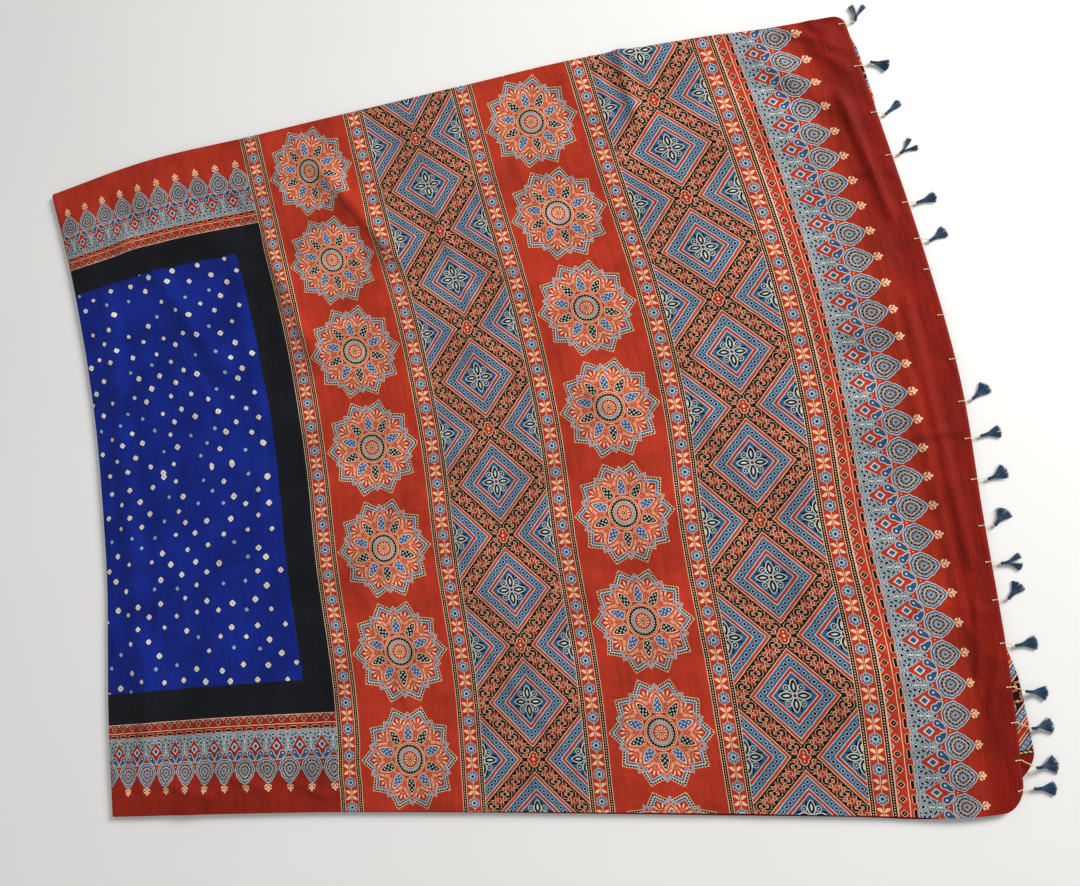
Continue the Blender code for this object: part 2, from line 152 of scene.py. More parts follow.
# The printed zones of the saree, from the end hem to the tied part. The middle is the line
# that a block is set on, and its repeats across the width start at first and go by pitch.
ZONES = table(
    "kind start end middle first pitch",
    ("arch", 0.0000, 0.1749, 0.1749, 0.0164, 0.0382),
    ("eye", 0.1749, 0.2091, 0.1920, 0.0107, 0.0381),
    ("lozenge", 0.2091, 0.3629, 0.2860, 0.1618, 0.1567),
    ("eye", 0.3629, 0.3971, 0.3800, 0.0204, 0.0386),
    ("star", 0.3971, 0.5499, 0.4735, 0.0808, 0.1517),
    ("eye", 0.5499, 0.5841, 0.5670, 0.0008, 0.0387),
    ("lozenge", 0.5841, 0.7349, 0.6595, 0.1456, 0.1599),
    ("eye", 0.7349, 0.7691, 0.7520, 0.0342, 0.0390),
    ("star", 0.7691, 0.9229, 0.8465, 0.0824, 0.1566),
    ("eye", 0.9229, 0.9571, 0.9400, 0.0375, 0.0391),
)
TIED_START = 0.9571
# The arched borders along both selvedges of the tied part: base line and repeats.
UPPER_BASE = 0.150
LOWER_BASE = 0.950
UPPER_ARCH = (0.9740, 0.0367)
LOWER_ARCH = (0.9640, 0.0360)
KINDS = ("arch", "eye", "lozenge", "star", "tied", "inner")
INNER_PRINT = 0.35

# How far the print lies off the even layout: along the length at places, and across it.
PRINT_SHIFT = table(
    "place off", (0.000, 0.0000), (0.070, 0.0045), (0.200, 0.0022), (0.400, 0.0014), (0.950, 0.0003)
)
ACROSS_SHIFT = 0.0035
SHIFT_EDGE = 0.050

# The mesh's steps, the cloth that each fold takes, and the turned hem: how far in each of its
# rows lies and how many of its small drops it is under the cloth's middle.
MESH_STEP = 0.0053
UNDER_STEPS = 46
ENDS_CLOSER = 0.86
BEND_STEPS = 6
BEND_STEP_LONG = 0.001
BEND_LONG = 0.006
HEM_TURN = 0.0075
HEM_FOLD = 0.0004
HEM_ROWS = table("share drop", (1.0, 2.2), (0.5, 2.4), (0.1, 1.9), (0.0, 1.0))
HEM_EDGE_BACK = 0.6

# The baking map: its margin, where the top layer starts, and the lower layers' strips.
BAKE_MARGIN = 0.004
BAKE_TOP = 0.128
STRIP_PITCH = 0.334
STRIP_WIDE = 0.324
STRIP_HIGH = 0.116

# Tassels: place along the end hem, tie length and direction, skirt direction, fan angle and
# height of the head, then how the skirt is parted, its pale threads, its length and its bend.
TASSELS = table(
    "across thread toward skirt fan lift parted pale long bend",
    (0.014, 0.015, 10.0, 69.0, 78.4, 0.0034, 0.45, 5, 0.024, 6.0),
    (0.082, 0.016, 8.0, -30.0, 56.8, 0.0034, 0.00, 0, 0.024, -4.0),
    (0.155, 0.013, -20.0, 29.0, 30.4, 0.0034, 0.00, 3, 0.023, 8.0),
    (0.221, 0.013, 3.0, 25.0, 82.0, 0.0034, 0.50, 0, 0.023, 4.0),
    (0.293, 0.013, -12.0, 6.0, 44.8, 0.0034, 0.00, 0, 0.024, -6.0),
    (0.347, 0.014, -22.0, 20.0, 59.2, 0.0034, 0.10, 0, 0.023, 5.0),
    (0.578, 0.012, 6.0, 28.0, 64.0, 0.0034, 0.00, 0, 0.024, 6.0),
    (0.628, 0.014, 2.0, 3.0, 52.0, 0.0034, 0.15, 1, 0.024, -5.0),
    (0.682, 0.015, -10.0, 8.0, 68.8, 0.0034, 0.00, 0, 0.024, 26.0),
    (0.743, 0.014, -8.0, 42.0, 76.0, 0.0034, 0.00, 0, 0.023, 8.0),
    (0.790, 0.014, -20.0, -4.0, 73.6, 0.0034, 0.35, 0, 0.024, -6.0),
    (0.839, 0.014, -4.0, 38.0, 61.6, 0.0034, 0.00, 1, 0.023, 9.0),
    (0.894, 0.014, -25.0, 0.0, 52.0, 0.0034, 0.00, 0, 0.025, -3.0),
    (0.949, 0.018, -28.0, -16.0, 54.4, 0.0094, 0.00, 2, 0.025, -5.0),
    (0.993, 0.020, -30.0, -4.0, 64.0, 0.0094, 0.10, 2, 0.025, 4.0),
    (1.039, 0.021, -34.0, -2.0, 78.4, 0.0094, 0.00, 4, 0.025, 5.0),
    (1.078, 0.015, -8.0, -8.0, 52.0, 0.0034, 0.00, 0, 0.024, -4.0),
)
KNOTS = (0.392, 0.458, 0.520)

# Tassels: the wound knob, the neck's turns of thread and the skirt's loose threads.
KNOB_RADIUS = 0.0022
KNOB_SHADE = 0.45
WOUND_RIDGE = 0.07
NECK_RADIUS = 0.0017
NECK_TURNS = 5
NECK_TURN_PITCH = 0.00055
NECK_TURN_THICK = 0.00034
STRANDS = 84
STRAND_STEPS = 7
THREAD_RADIUS = 0.00038
ROOT_OUT = 0.0020
SKIRT_PART = 0.88
SKIRT_HIGH = 0.0026
SWING_OFF = 5.0
BEND_OFF = 7.0
PALE_SHADE = 1.6

# Ties: two twisted threads from a stitch inside the hem, with a knot there. Where no tassel
# hangs, two tails leave the knot, each by the reach and drop of its points.
STITCH_INSIDE = 0.008
TIE_RADIUS = 0.00036
TIE_STEPS = 34
TWIST = 0.55
KNOT_STEPS = 12
KNOT_RADIUS = 0.0011
KNOT_HALF_LONG = 0.0012
TAIL_SWINGS = (-34.0, 28.0)
TAIL = ((0.0, 0.0), (0.0022, 0.0004), (0.0042, 0.0012))
SEED = 23


def dye(red, green, blue):
    """A colour given as seen on a screen, as light."""
    light = []
    for part in (red, green, blue):
        part = part / 255.0
        light.append(part / 12.92 if part <= 0.04045 else ((part + 0.055) / 1.055) ** 2.4)
    return (*light, 1.0)


MADDER = dye(174, 52, 33)
# Deep madder: printed in the inner end's selvedge band, and laid as painted shade in the arch border.
DEEP_MADDER_AND_SHADE = dye(124, 24, 13)
MADDER_DARK = dye(112, 26, 18)
VINE_RED = dye(160, 50, 35)
TIED_BLUE = dye(18, 38, 129)
IRON_BLACK = dye(24, 25, 30)
BLACK = dye(22, 18, 20)
CREAM = dye(234, 192, 152)
PINK = dye(222, 138, 104)
GREY = dye(196, 202, 194)
PRINT_BLUE = dye(44, 80, 120)
DROP_BLUE = dye(46, 88, 146)
FRAME_BLUE = dye(62, 96, 132)
EYE_BLUE = dye(84, 114, 141)
LACE_BLUE = dye(52, 88, 124)
PALE_BLUE = dye(132, 172, 196)
TIED_WHITE = dye(222, 216, 206)
TIED_SHADE = dye(10, 16, 78)
TIED_OCHRE = dye(178, 140, 104)


# The cloth's shape.


def smooth_between(stops, values, place):
    """Value at each place between stops, along a smooth curve through all of them."""
    stops = np.asarray(stops, float)
    place = np.asarray(place, float)
    values = np.asarray(values, float)
    if values.ndim == 1:
        values = np.repeat(values[:, None], place.size, axis=1)
    slopes = np.empty_like(values)
    slopes[1:-1] = (values[2:] - values[:-2]) / (stops[2:] - stops[:-2])[:, None]
    slopes[0] = (values[1] - values[0]) / (stops[1] - stops[0])
    slopes[-1] = (values[-1] - values[-2]) / (stops[-1] - stops[-2])
    index = np.clip(np.searchsorted(stops, place, side="left") - 1, 0, len(stops) - 2)
    span = stops[index + 1] - stops[index]
    part = np.clip((place - stops[index]) / span, 0.0, 1.0)
    square = part * part
    cube = square * part
    each = np.arange(place.size)
    start = (2 * cube - 3 * square + 1) * values[index, each]
    start = start + (cube - 2 * square + part) * span * slopes[index, each]
    end = (3 * square - 2 * cube) * values[index + 1, each]
    return start + end + (cube - square) * span * slopes[index + 1, each]


def across_line(line, across):
    """Place along the surface where one printed line passes points of the width."""
    return smooth_between(STOPS, line[4:], across)


def selvedges(along):
    """Where both selvedges of the top layer lie across the surface."""
    sides = ([line.upper for line in LINES], [line.lower for line in LINES])
    return [smooth_between(ALONG, side, along) for side in sides]


def round_corner(along, across, corner, edge):
    """Move points of a square corner of the cloth onto a rounded one."""
    a = np.clip((corner - along) / corner, 0.0, None)
    b = np.clip((corner - edge) / corner, 0.0, None)
    turn = np.where(across > CLOTH_WIDTH / 2, 1.0, -1.0)
    inside = (a > 0.0) & (b > 0.0)
    new_a = a * np.sqrt(np.clip(1.0 - b * b / 2.0, 0.0, 1.0))
    new_b = b * np.sqrt(np.clip(1.0 - a * a / 2.0, 0.0, 1.0))
    along = np.where(inside, corner * (1.0 - new_a), along)
    return along, np.where(inside, across + turn * corner * (new_b - b), across)


def top_place(along, across):
    """Place on the surface of points of the top layer."""
    along, across = round_corner(along, across, HEM_CORNER, CLOTH_WIDTH - across)
    along, across = round_corner(along, across, HEM_TOP_CORNER, across)
    x = smooth_between(ALONG, [across_line(line, across) for line in LINES], along)
    upper, lower = selvedges(along)
    return x, upper + (lower - upper) * across / CLOTH_WIDTH


def under_place(layer, along, across):
    """Place on the surface of points of a layer under the top one."""
    inset = LAYER_INSET[layer]
    back = INNER_FOLD_BACK if layer in (1, 2) else 0.0
    past = -MIDDLE_FOLD_BACK
    if layer == 1:
        past = np.interp(across, [row.across for row in INNER_END], [row.past for row in INNER_END])
    along, across = round_corner(along, across, INNER_CORNER, CLOTH_WIDTH - across)
    hem_x = across_line(LINES[0], across) + past
    fold_x = across_line(LINES[-1], across) + back
    upper, lower = selvedges(along)
    upper = upper - inset.upper
    lower = lower + inset.lower
    return hem_x + (fold_x - hem_x) * along / FOLD_ALONG, upper + (lower - upper) * across / CLOTH_WIDTH


def crease_height(x, y, creases):
    """Height that soft ridges and troughs add at points of the surface."""
    total = np.zeros_like(x)
    for crease in creases:
        run_x = crease.x1 - crease.x0
        run_y = crease.y1 - crease.y0
        length = math.hypot(run_x, run_y)
        along = ((x - crease.x0) * run_x + (y - crease.y0) * run_y) / length
        aside = ((x - crease.x0) * run_y - (y - crease.y0) * run_x) / length
        past = np.maximum(np.maximum(-along, along - length), 0.0)
        away = np.minimum(np.hypot(aside / crease.half, past / (crease.half * CREASE_TAPER)), 1.0)
        total += crease.high * (0.5 + 0.5 * np.cos(math.pi * away))
    return total


def unevenness(x, y):
    """Gentle rise and fall of loose cloth, never under its resting height."""
    heights = []
    for px, py in zip(x, y):
        spot = Vector((px / UNEVEN_LONG, py / UNEVEN_LONG, 0.0))
        finer = spot * UNEVEN_FINER + Vector((5.0, 1.0, 0.0))
        heights.append(noise.noise(spot) + 0.5 * noise.noise(finer))
    return (np.array(heights) * 0.6 + 0.5) * UNEVEN_HIGH


def calm_near_ends(along):
    """Share of the creases left at a distance from the end hem and from the side fold."""
    near = np.minimum(along, FOLD_ALONG - along)
    part = np.clip(near / EDGE_CALM, 0.0, 1.0)
    return part * part * (3.0 - 2.0 * part)


def layer_rows(layer, along, across):
    """Middle of one layer at points given by distance from the hem side and across."""
    rest = (LAYERS - 1 - layer) * LAYER_RISE + CLOTH_THICK / 2
    share = (LAYERS - 1 - layer) / (LAYERS - 1)
    x, y = under_place(layer, along, across) if layer else top_place(along, across)
    lift = crease_height(x, y, CREASES) * calm_near_ends(along) + unevenness(x, y)
    height = rest + share * lift
    if layer == 0:
        height += crease_height(x, y, FINE_CREASES) * calm_near_ends(along)
    return np.stack([x, y, height], axis=1)


def spaced(breaks, step):
    """Places from the first break to the last, no further apart than a step."""
    places = [breaks[0]]
    for low, high in zip(breaks, breaks[1:]):
        count = max(1, math.ceil((high - low) / step - 1e-6))
        places += [low + (high - low) * k / count for k in range(1, count + 1)]
    return np.array(places)


def graded(length, steps):
    """Places from 0 to a length, close together at both ends."""
    share = np.linspace(0.0, 1.0, steps + 1)
    return (share - np.sin(TURN * share) / TURN * ENDS_CLOSER) * length


def half_bend(high, low, side):
    """Rows of a half-round bend between the edge of a higher layer and a lower one."""
    middle = (high + low) / 2
    radius = (high[:, 2] - low[:, 2]) / 2
    rows = []
    for step in range(1, BEND_STEPS):
        angle = math.pi * step / BEND_STEPS
        row = middle.copy()
        row[:, 0] += (high[:, 0] - low[:, 0]) / 2 * math.cos(angle) + side * radius * math.sin(angle)
        row[:, 2] = middle[:, 2] + radius * math.cos(angle)
        rows.append(row)
    return rows


def saree_rows(across):
    """Every row of the sheet from the turned hem to the inner end, with its print place."""
    fold_print = smooth_between(STOPS, FOLD_PRINT, across)
    breaks = [zone.start for zone in ZONES] + [TIED_START]
    printed = [np.full_like(across, place) for place in spaced(breaks, MESH_STEP)]
    steps = round((FOLD_ALONG - TIED_START) / MESH_STEP)
    for step in range(1, steps + 1):
        printed.append(TIED_START + (fold_print - TIED_START) * step / steps)
    places = [shift.place for shift in PRINT_SHIFT]
    offs = [shift.off for shift in PRINT_SHIFT]
    border = TIED_START - offs[-1]
    rows = []
    hem = layer_rows(0, np.zeros_like(across), across)
    inside = layer_rows(0, np.full_like(across, HEM_TURN), across)
    for share, drop in HEM_ROWS:
        points = hem + (inside - hem) * share
        points[:, 2] = hem[:, 2] - HEM_FOLD * drop
        if share == 0.0:
            points[:, 0] += HEM_FOLD * HEM_EDGE_BACK
        rows.append((points, np.full_like(across, HEM_TURN * share), 0))
    for place in printed:
        stretch = (FOLD_ALONG - border) / (fold_print - TIED_START)
        even = place - np.interp(place, places, offs)
        along = np.where(place > TIED_START, border + (place - TIED_START) * stretch, even)
        rows.append((layer_rows(0, along, across), place, 0))
    under = graded(FOLD_ALONG, UNDER_STEPS)
    reach = fold_print
    for layer, inward, side in ((3, False, -1.0), (2, True, 1.0), (1, False, -1.0)):
        order = under if inward else under[::-1]
        points = [layer_rows(layer, np.full_like(across, along), across) for along in order]
        before = rows[-1][0]
        bend = half_bend(before, points[0], side) if layer == 3 else half_bend(points[0], before, side)[::-1]
        for k, row in enumerate(bend):
            rows.append((row, reach + BEND_STEP_LONG * (k + 1), layer))
        for along, row in zip(order, points):
            gone = along if inward else FOLD_ALONG - along
            rows.append((row, reach + BEND_LONG + gone, layer))
        reach = reach + BEND_LONG + FOLD_ALONG
    return rows


def zone_place(zone, printed, across):
    """Place in a zone's own block: metres from its set line, and repeats along it."""
    way = -1.0 if zone.kind == "arch" else 1.0
    return (printed - zone.middle) * way, (across - zone.first) / zone.pitch


def side_place(printed, across):
    """The same for the arched borders along both selvedges of the tied part."""
    upper = across < CLOTH_WIDTH / 2
    away = np.where(upper, UPPER_BASE - across, across - LOWER_BASE)
    first, pitch = (np.where(upper, *pair) for pair in zip(UPPER_ARCH, LOWER_ARCH))
    return away, (printed - first) / pitch


def build_cloth(materials):
    """The whole saree as one folded sheet, with its print and baking places."""
    across = spaced((0.0, UPPER_BASE, LOWER_BASE, CLOTH_WIDTH), MESH_STEP)
    inward = np.minimum(np.minimum(across, CLOTH_WIDTH - across) / SHIFT_EDGE, 1.0)
    rows = saree_rows(across + ACROSS_SHIFT * inward)
    wide = len(across)
    deep = len(rows)
    layers = np.array([row[2] for row in rows])
    j, i = (grid.ravel() for grid in np.meshgrid(np.arange(deep - 1), np.arange(wide - 1), indexing="ij"))
    corner = j * wide + i
    faces = np.stack([corner, corner + wide, corner + wide + 1, corner + 1], axis=1)
    mesh = bpy.data.meshes.new("saree_cloth")
    mesh.vertices.add(deep * wide)
    mesh.vertices.foreach_set("co", np.concatenate([row[0] for row in rows]).astype(np.float32).ravel())
    mesh.loops.add(faces.size)
    mesh.loops.foreach_set("vertex_index", faces.ravel().astype(np.int32))
    mesh.polygons.add(len(faces))
    mesh.polygons.foreach_set("loop_start", np.arange(0, faces.size, 4, dtype=np.int32))
    mesh.polygons.foreach_set("use_smooth", np.ones(len(faces), bool))

    printed = np.concatenate([row[1] for row in rows])[faces]
    place_across = np.tile(across, deep)[faces]
    middle = printed.mean(axis=1)
    middle_across = place_across.mean(axis=1)
    layer = layers[j + 1]
    kind = np.full(len(faces), KINDS.index("tied"))
    place = np.stack([printed, place_across], axis=-1)
    block = place.copy()
    border = ((middle_across < UPPER_BASE) | (middle_across > LOWER_BASE)) & (middle > TIED_START)
    kind[border] = KINDS.index("arch")
    block[border] = np.stack(side_place(printed[border], place_across[border]), axis=-1)
    for zone in ZONES:
        here = (middle > zone.start) & (middle < zone.end)
        kind[here] = KINDS.index(zone.kind)
        block[here] = np.stack(zone_place(zone, printed[here], place_across[here]), axis=-1)
    inner = (layer == 1) & (middle > printed.max() - INNER_PRINT)
    kind[inner] = KINDS.index("inner")
    block[inner] = place[inner]
    mesh.polygons.foreach_set("material_index", kind.astype(np.int32))

    write_map(mesh, "print", place)
    write_map(mesh, "block", block)
    row_of = j[:, None] + np.array([0, 1, 1, 0])
    write_map(mesh, "OFBake", baking_places(row_of, layers, place_across, layer))
    mesh.update(calc_edges=True)
    mesh.validate()
    for name in KINDS:
        mesh.materials.append(materials[name])
    return place_object(mesh)


def baking_places(row_of, layers, across, layer):
    """Baking map: most of the square to the top layer, a strip to each layer below."""
    width = across / CLOTH_WIDTH
    places = np.zeros((*row_of.shape, 2))
    for number in range(LAYERS):
        rows = np.where(layers == number)[0]
        first = rows[0] - min(number, 1)
        share = (row_of - first) / (rows[-1] - first)
        if number == 0:
            u = BAKE_MARGIN + (1.0 - 2.0 * BAKE_MARGIN) * share
            v = BAKE_TOP + (1.0 - BAKE_MARGIN - BAKE_TOP) * width
        else:
            u = BAKE_MARGIN + (number - 1) * STRIP_PITCH + STRIP_WIDE * width
            v = BAKE_MARGIN + STRIP_HIGH * share
        here = layer == number
        places[here] = np.stack([u, v], axis=-1)[here]
    return places


def write_map(mesh, name, places):
    """Store one place for each face corner."""
    layer = mesh.uv_layers.new(name=name)
    layer.data.foreach_set("uv", places.astype(np.float32).ravel())


def place_object(mesh):
    """Put a mesh in the scene."""
    thing = bpy.data.objects.new(mesh.name, mesh)
    bpy.context.scene.collection.objects.link(thing)
    return thing


# Threads.


def heading(degrees):
    """Level direction at an angle from +X."""
    angle = math.radians(degrees)
    return Vector((math.cos(angle), math.sin(angle), 0.0))


def cloth_point(along, across):
    """A point of the top layer's middle."""
    row = layer_rows(0, np.array([along]), np.array([across]))[0]
    return Vector(row.tolist())


def square_to(way):
    """Two directions square to a given one, the first of them level."""
    side = way.cross(UP)
    if side.length < 0.001:
        side = Vector((1.0, 0.0, 0.0))
    side.normalize()
    return side, side.cross(way)


def circle(side, lift, count, turn=0.0):
    """Directions round a circle."""
    angles = [turn + TURN * step / count for step in range(count)]
    return [side * math.cos(angle) + lift * math.sin(angle) for angle in angles]


class ThreadWork:
    """Gathers round threads and wound balls into one mesh, each with its own shade."""

    def __init__(self):
        self.verts = []
        self.faces = []
        self.shades = []

    def skin(self, rings, shade, in_a_turn=False):
        """Faces over rings of points, closed at both ends or joined into one turn."""
        start = len(self.verts)
        sides = len(rings[0])
        for ring in rings:
            self.verts += ring
        self.shades += [shade] * (sides * len(rings))
        for k in range(len(rings) - (0 if in_a_turn else 1)):
            here = start + k * sides
            there = start + (k + 1) % len(rings) * sides
            for step in range(sides):
                n = (step + 1) % sides
                self.faces.append((here + step, there + step, there + n, here + n))
        if not in_a_turn:
            self.faces.append(tuple(range(start, start + sides)))
            self.faces.append(tuple(reversed(range(len(self.verts) - sides, len(self.verts)))))

    def thread(self, path, radius, shade, sides=5, taper=0.7):
        """A round thread along a path of points, closed at both ends."""
        last = len(path) - 1
        rings = []
        for k, point in enumerate(path):
            run = (path[min(k + 1, last)] - path[max(k - 1, 0)]).normalized()
            wide = radius * (1.0 - (1.0 - taper) * k / last)
            rings.append([point + out * wide for out in circle(*square_to(run), sides)])
        self.skin(rings, shade)

    def ball(self, centre, axis, radius, long, shade, turns=7, around=20, rings=12):
        """A ball wound with thread: a round form with raised slanting turns."""
        outs = circle(*square_to(axis), around)
        made = []
        for ring in range(1, rings):
            share = ring / rings
            spot = centre - axis * (long * math.cos(math.pi * share))
            wide = radius * math.sin(math.pi * share)
            points = []
            for step, out in enumerate(outs):
                ridge = math.sin(TURN * (2.0 * step / around + share * turns))
                points.append(spot + out * (wide * (1.0 + WOUND_RIDGE * ridge)))
            made.append(points)
        self.skin(made, shade)

    def ring(self, centre, axis, radius, thick, shade, around=16, sides=6):
        """One turn of thread round a neck."""
        outs = circle(*square_to(axis), around)
        made = [[centre + out * radius + spot * thick for spot in circle(out, -axis, sides)] for out in outs]
        self.skin(made, shade, in_a_turn=True)

    def made(self, name, material):
        """The finished object, with the shades as an attribute."""
        mesh = bpy.data.meshes.new(name)
        mesh.from_pydata([tuple(v) for v in self.verts], [], self.faces)
        mesh.polygons.foreach_set("use_smooth", np.ones(len(mesh.polygons), bool))
        shade = mesh.attributes.new("thread_shade", "FLOAT", "POINT")
        shade.data.foreach_set("value", np.array(self.shades, np.float32))
        mesh.materials.append(material)
        mesh.update()
        return place_object(mesh)


def head_centre(row):
    """Centre of a tassel's wound knob."""
    start = cloth_point(0.0, row.across)
    reach = heading(row.toward) * row.thread
    return Vector((start.x + reach.x, start.y + reach.y, row.lift))


def build_tassel(number, row, material, draw):
    """One tassel: a wound knob, a bound neck and a skirt of loose threads on the surface."""
    work = ThreadWork()
    centre = head_centre(row)
    out = heading(row.skirt)
    side = Vector((-out.y, out.x, 0.0))
    work.ball(centre, out, KNOB_RADIUS, KNOB_RADIUS * 1.05, KNOB_SHADE)
    for turn in range(NECK_TURNS):
        spot = centre + out * (KNOB_RADIUS * 0.9 + turn * NECK_TURN_PITCH)
        work.ring(spot, out, NECK_RADIUS, NECK_TURN_THICK, 0.30 + 0.08 * (turn % 2))
    for strand in range(STRANDS):
        spread = 2.0 * (strand + 0.5) / STRANDS - 1.0
        if row.parted > 0.0:
            spread = math.copysign(row.parted + (1.0 - row.parted) * abs(spread), spread)
        swing = spread * row.fan / 2 + draw.uniform(-SWING_OFF, SWING_OFF)
        level = draw.random()
        root_side = spread * NECK_RADIUS * 0.75 + draw.uniform(-0.3, 0.3) * NECK_RADIUS
        root_up = (level - 0.5) * 1.5 * NECK_RADIUS
        root = centre + out * (KNOB_RADIUS + ROOT_OUT) + side * root_side + UP * root_up
        length = row.long * SKIRT_PART * draw.uniform(0.93, 1.0) * (1.0 - 0.08 * abs(spread))
        floor_at = THREAD_RADIUS + 0.0001 + level * SKIRT_HIGH
        bend = row.bend + draw.uniform(-BEND_OFF, BEND_OFF)
        path = [root]
        for step in range(1, STRAND_STEPS + 1):
            share = step / STRAND_STEPS
            turn = row.skirt + swing * min(1.0, share * 2.2) + bend * share * share
            spot = path[-1] + heading(turn) * (length / STRAND_STEPS)
            fall = min(1.0, share * 1.9)
            spot.z = root.z + (floor_at - root.z) * fall * fall * (3.0 - 2.0 * fall)
            path.append(spot)
        shade = 0.15 + 0.7 * draw.random()
        if row.pale and strand % (STRANDS // (row.pale + 1)) == 3:
            shade = PALE_SHADE
        work.thread(path, THREAD_RADIUS, shade, sides=4)
    return work.made("tassel_threads_%02d" % number, material)


def tie_path(across, end):
    """Way of a tie from its stitch on the hem, over the edge and out to its end."""
    inside = cloth_point(STITCH_INSIDE, across)
    edge = cloth_point(0.0, across)
    above = UP * (TIE_RADIUS * 2.2)
    way = (edge - inside).normalized()
    path = [inside + above * 0.3, inside + way * 0.002 + above, edge - way * 0.001 + above]
    path.append(edge + way * 0.0012 + above * 0.6)
    if end is not None:
        for share in (0.25, 0.5, 0.75):
            spot = edge + (end - edge) * share
            spot.z = edge.z + (end.z - edge.z) * (share ** 0.7)
            path.append(spot)
        path.append(end)
    return path


def smooth_path(points, count):
    """Evenly numbered points along a rounded way through given ones."""
    values = np.array([tuple(p) for p in points])
    lengths = np.concatenate([[0.0], np.cumsum(np.linalg.norm(np.diff(values, axis=0), axis=1))])
    places = np.linspace(0.0, lengths[-1], count)
    each = [smooth_between(lengths, values[:, k], places) for k in range(3)]
    return [Vector(point) for point in zip(*(column.tolist() for column in each))]


def build_tie(name, row_path, material, draw, knot_end):
    """Two threads twisted together, with a small knot on the hem where they are sewn."""
    work = ThreadWork()
    count = KNOT_STEPS if knot_end else TIE_STEPS
    way = smooth_path(row_path, count)
    for turn in (0.0, math.pi):
        path = []
        for k, point in enumerate(way):
            run = (way[min(k + 1, count - 1)] - way[max(k - 1, 0)]).normalized()
            path.append(point + circle(*square_to(run), 1, turn + k * TWIST)[0] * (TIE_RADIUS * 0.95))
        work.thread(path, TIE_RADIUS, 0.4 + 0.3 * draw.random(), sides=6, taper=1.0)
    run = (way[2] - way[0]).normalized()
    centre = way[1] + UP * 0.0003
    work.ball(centre, run, KNOT_RADIUS, KNOT_HALF_LONG, 0.5, turns=3, around=12, rings=8)
    if knot_end:
        for swing in TAIL_SWINGS:
            toward = Matrix.Rotation(math.radians(swing), 3, "Z") @ run
            tail = [way[-1] + toward * reach - UP * drop for reach, drop in TAIL]
            work.thread(tail, TIE_RADIUS * 0.8, 0.6, sides=5)
    return work.made(name, material)


# The prints, drawn with nodes.


class Ink:
    """A value that changes over the cloth; sums on it add the nodes that work them out."""

    def __init__(self, tree, socket):
        self.tree = tree
        self.socket = socket

    def sum(self, kind, *others, clamp=False):
        node = self.tree.nodes.new("ShaderNodeMath")
        node.operation = kind
        node.use_clamp = clamp
        node.hide = True
        for slot, value in zip(node.inputs, (self,) + others):
            feed(self.tree, value, slot)
        return Ink(self.tree, node.outputs[0])

    # Each is one kind of sum, of this value and those that follow.
    __add__ = plus = partialmethod(sum, "ADD")
    __sub__ = partialmethod(sum, "SUBTRACT")
    __rsub__ = partialmethod(sum, "MULTIPLY_ADD", -1.0)
    __mul__ = partialmethod(sum, "MULTIPLY")
    times_plus = partialmethod(sum, "MULTIPLY_ADD")
    clamped = partialmethod(sum, "MULTIPLY_ADD", clamp=True)
    size = partialmethod(sum, "ABSOLUTE")
    root = partialmethod(sum, "SQRT")
    power = partialmethod(sum, "POWER")
    wave = partialmethod(sum, "SINE")
    crest = partialmethod(sum, "COSINE")
    under = partialmethod(sum, "LESS_THAN")
    over = partialmethod(sum, "GREATER_THAN")
    near = partialmethod(sum, "COMPARE")
    least = partialmethod(sum, "MINIMUM")
    most = partialmethod(sum, "MAXIMUM")
    angle_to = partialmethod(sum, "ARCTAN2")

    def __truediv__(self, length):
        return self * (1.0 / length)

    def from_nearest(self, pitch):
        """Distance from the nearest whole multiple of a pitch."""
        return self.sum("PINGPONG", pitch / 2.0)

    def away(self, other):
        """Distance from the origin of two values."""
        return (self * self + other * other).root()


def feed(tree, value, slot):
    """Join a value to a node's socket, or set it there."""
    if isinstance(value, Ink):
        tree.links.new(value.socket, slot)
    else:
        slot.default_value = value


class Printing:
    """Dyes laid one over another on a ground."""

    def __init__(self, tree, ground):
        self.tree = tree
        self.colour = ground

    def lay(self, colour, where, way="MIX"):
        """Lay a dye over the others where a mask says."""
        node = self.tree.nodes.new("ShaderNodeMix")
        node.data_type = "RGBA"
        node.blend_type = way
        node.hide = True
        feed(self.tree, where, node.inputs["Factor"])
        feed(self.tree, self.colour, node.inputs[6])
        feed(self.tree, colour, node.inputs[7])
        self.colour = Ink(self.tree, node.outputs[2])

    def rings(self, value, *steps, only=None):
        """Lay one dye inside another: each with how far its mask reaches, or its middle and half."""
        for colour, *reach in steps:
            where = value.near(*reach) if len(reach) == 2 else value.under(*reach)
            self.lay(colour, where if only is None else where * only)


def leaf(along, across, long, wide):
    """Where a leaf or petal lies that is pointed at both ends, as a mask."""
    part = along / long
    return (across / wide).size().plus(part * part).under(1.0)


def turned(along, across, degrees):
    """Both values in a frame turned by an angle."""
    cosine = math.cos(math.radians(degrees))
    sine = math.sin(math.radians(degrees))
    return along.times_plus(cosine, across * sine), across.times_plus(cosine, along * -sine)


def new_group(name, inputs, outputs):
    """An empty node group with named sockets, and its two end nodes."""
    group = bpy.data.node_groups.new(name, "ShaderNodeTree")
    for label, kind, value in inputs:
        item = group.interface.new_socket(name=label, in_out="INPUT", socket_type=kind)
        item.default_value = value
    for label, kind in outputs:
        group.interface.new_socket(name=label, in_out="OUTPUT", socket_type=kind)
    return group, group.nodes.new("NodeGroupInput"), group.nodes.new("NodeGroupOutput")


def read_map(tree, name):
    """The two values of a map of the cloth."""
    node = tree.nodes.new("ShaderNodeUVMap")
    node.uv_map = name
    split = tree.nodes.new("ShaderNodeSeparateXYZ")
    tree.links.new(node.outputs["UV"], split.inputs[0])
    return Ink(tree, split.outputs[0]), Ink(tree, split.outputs[1])


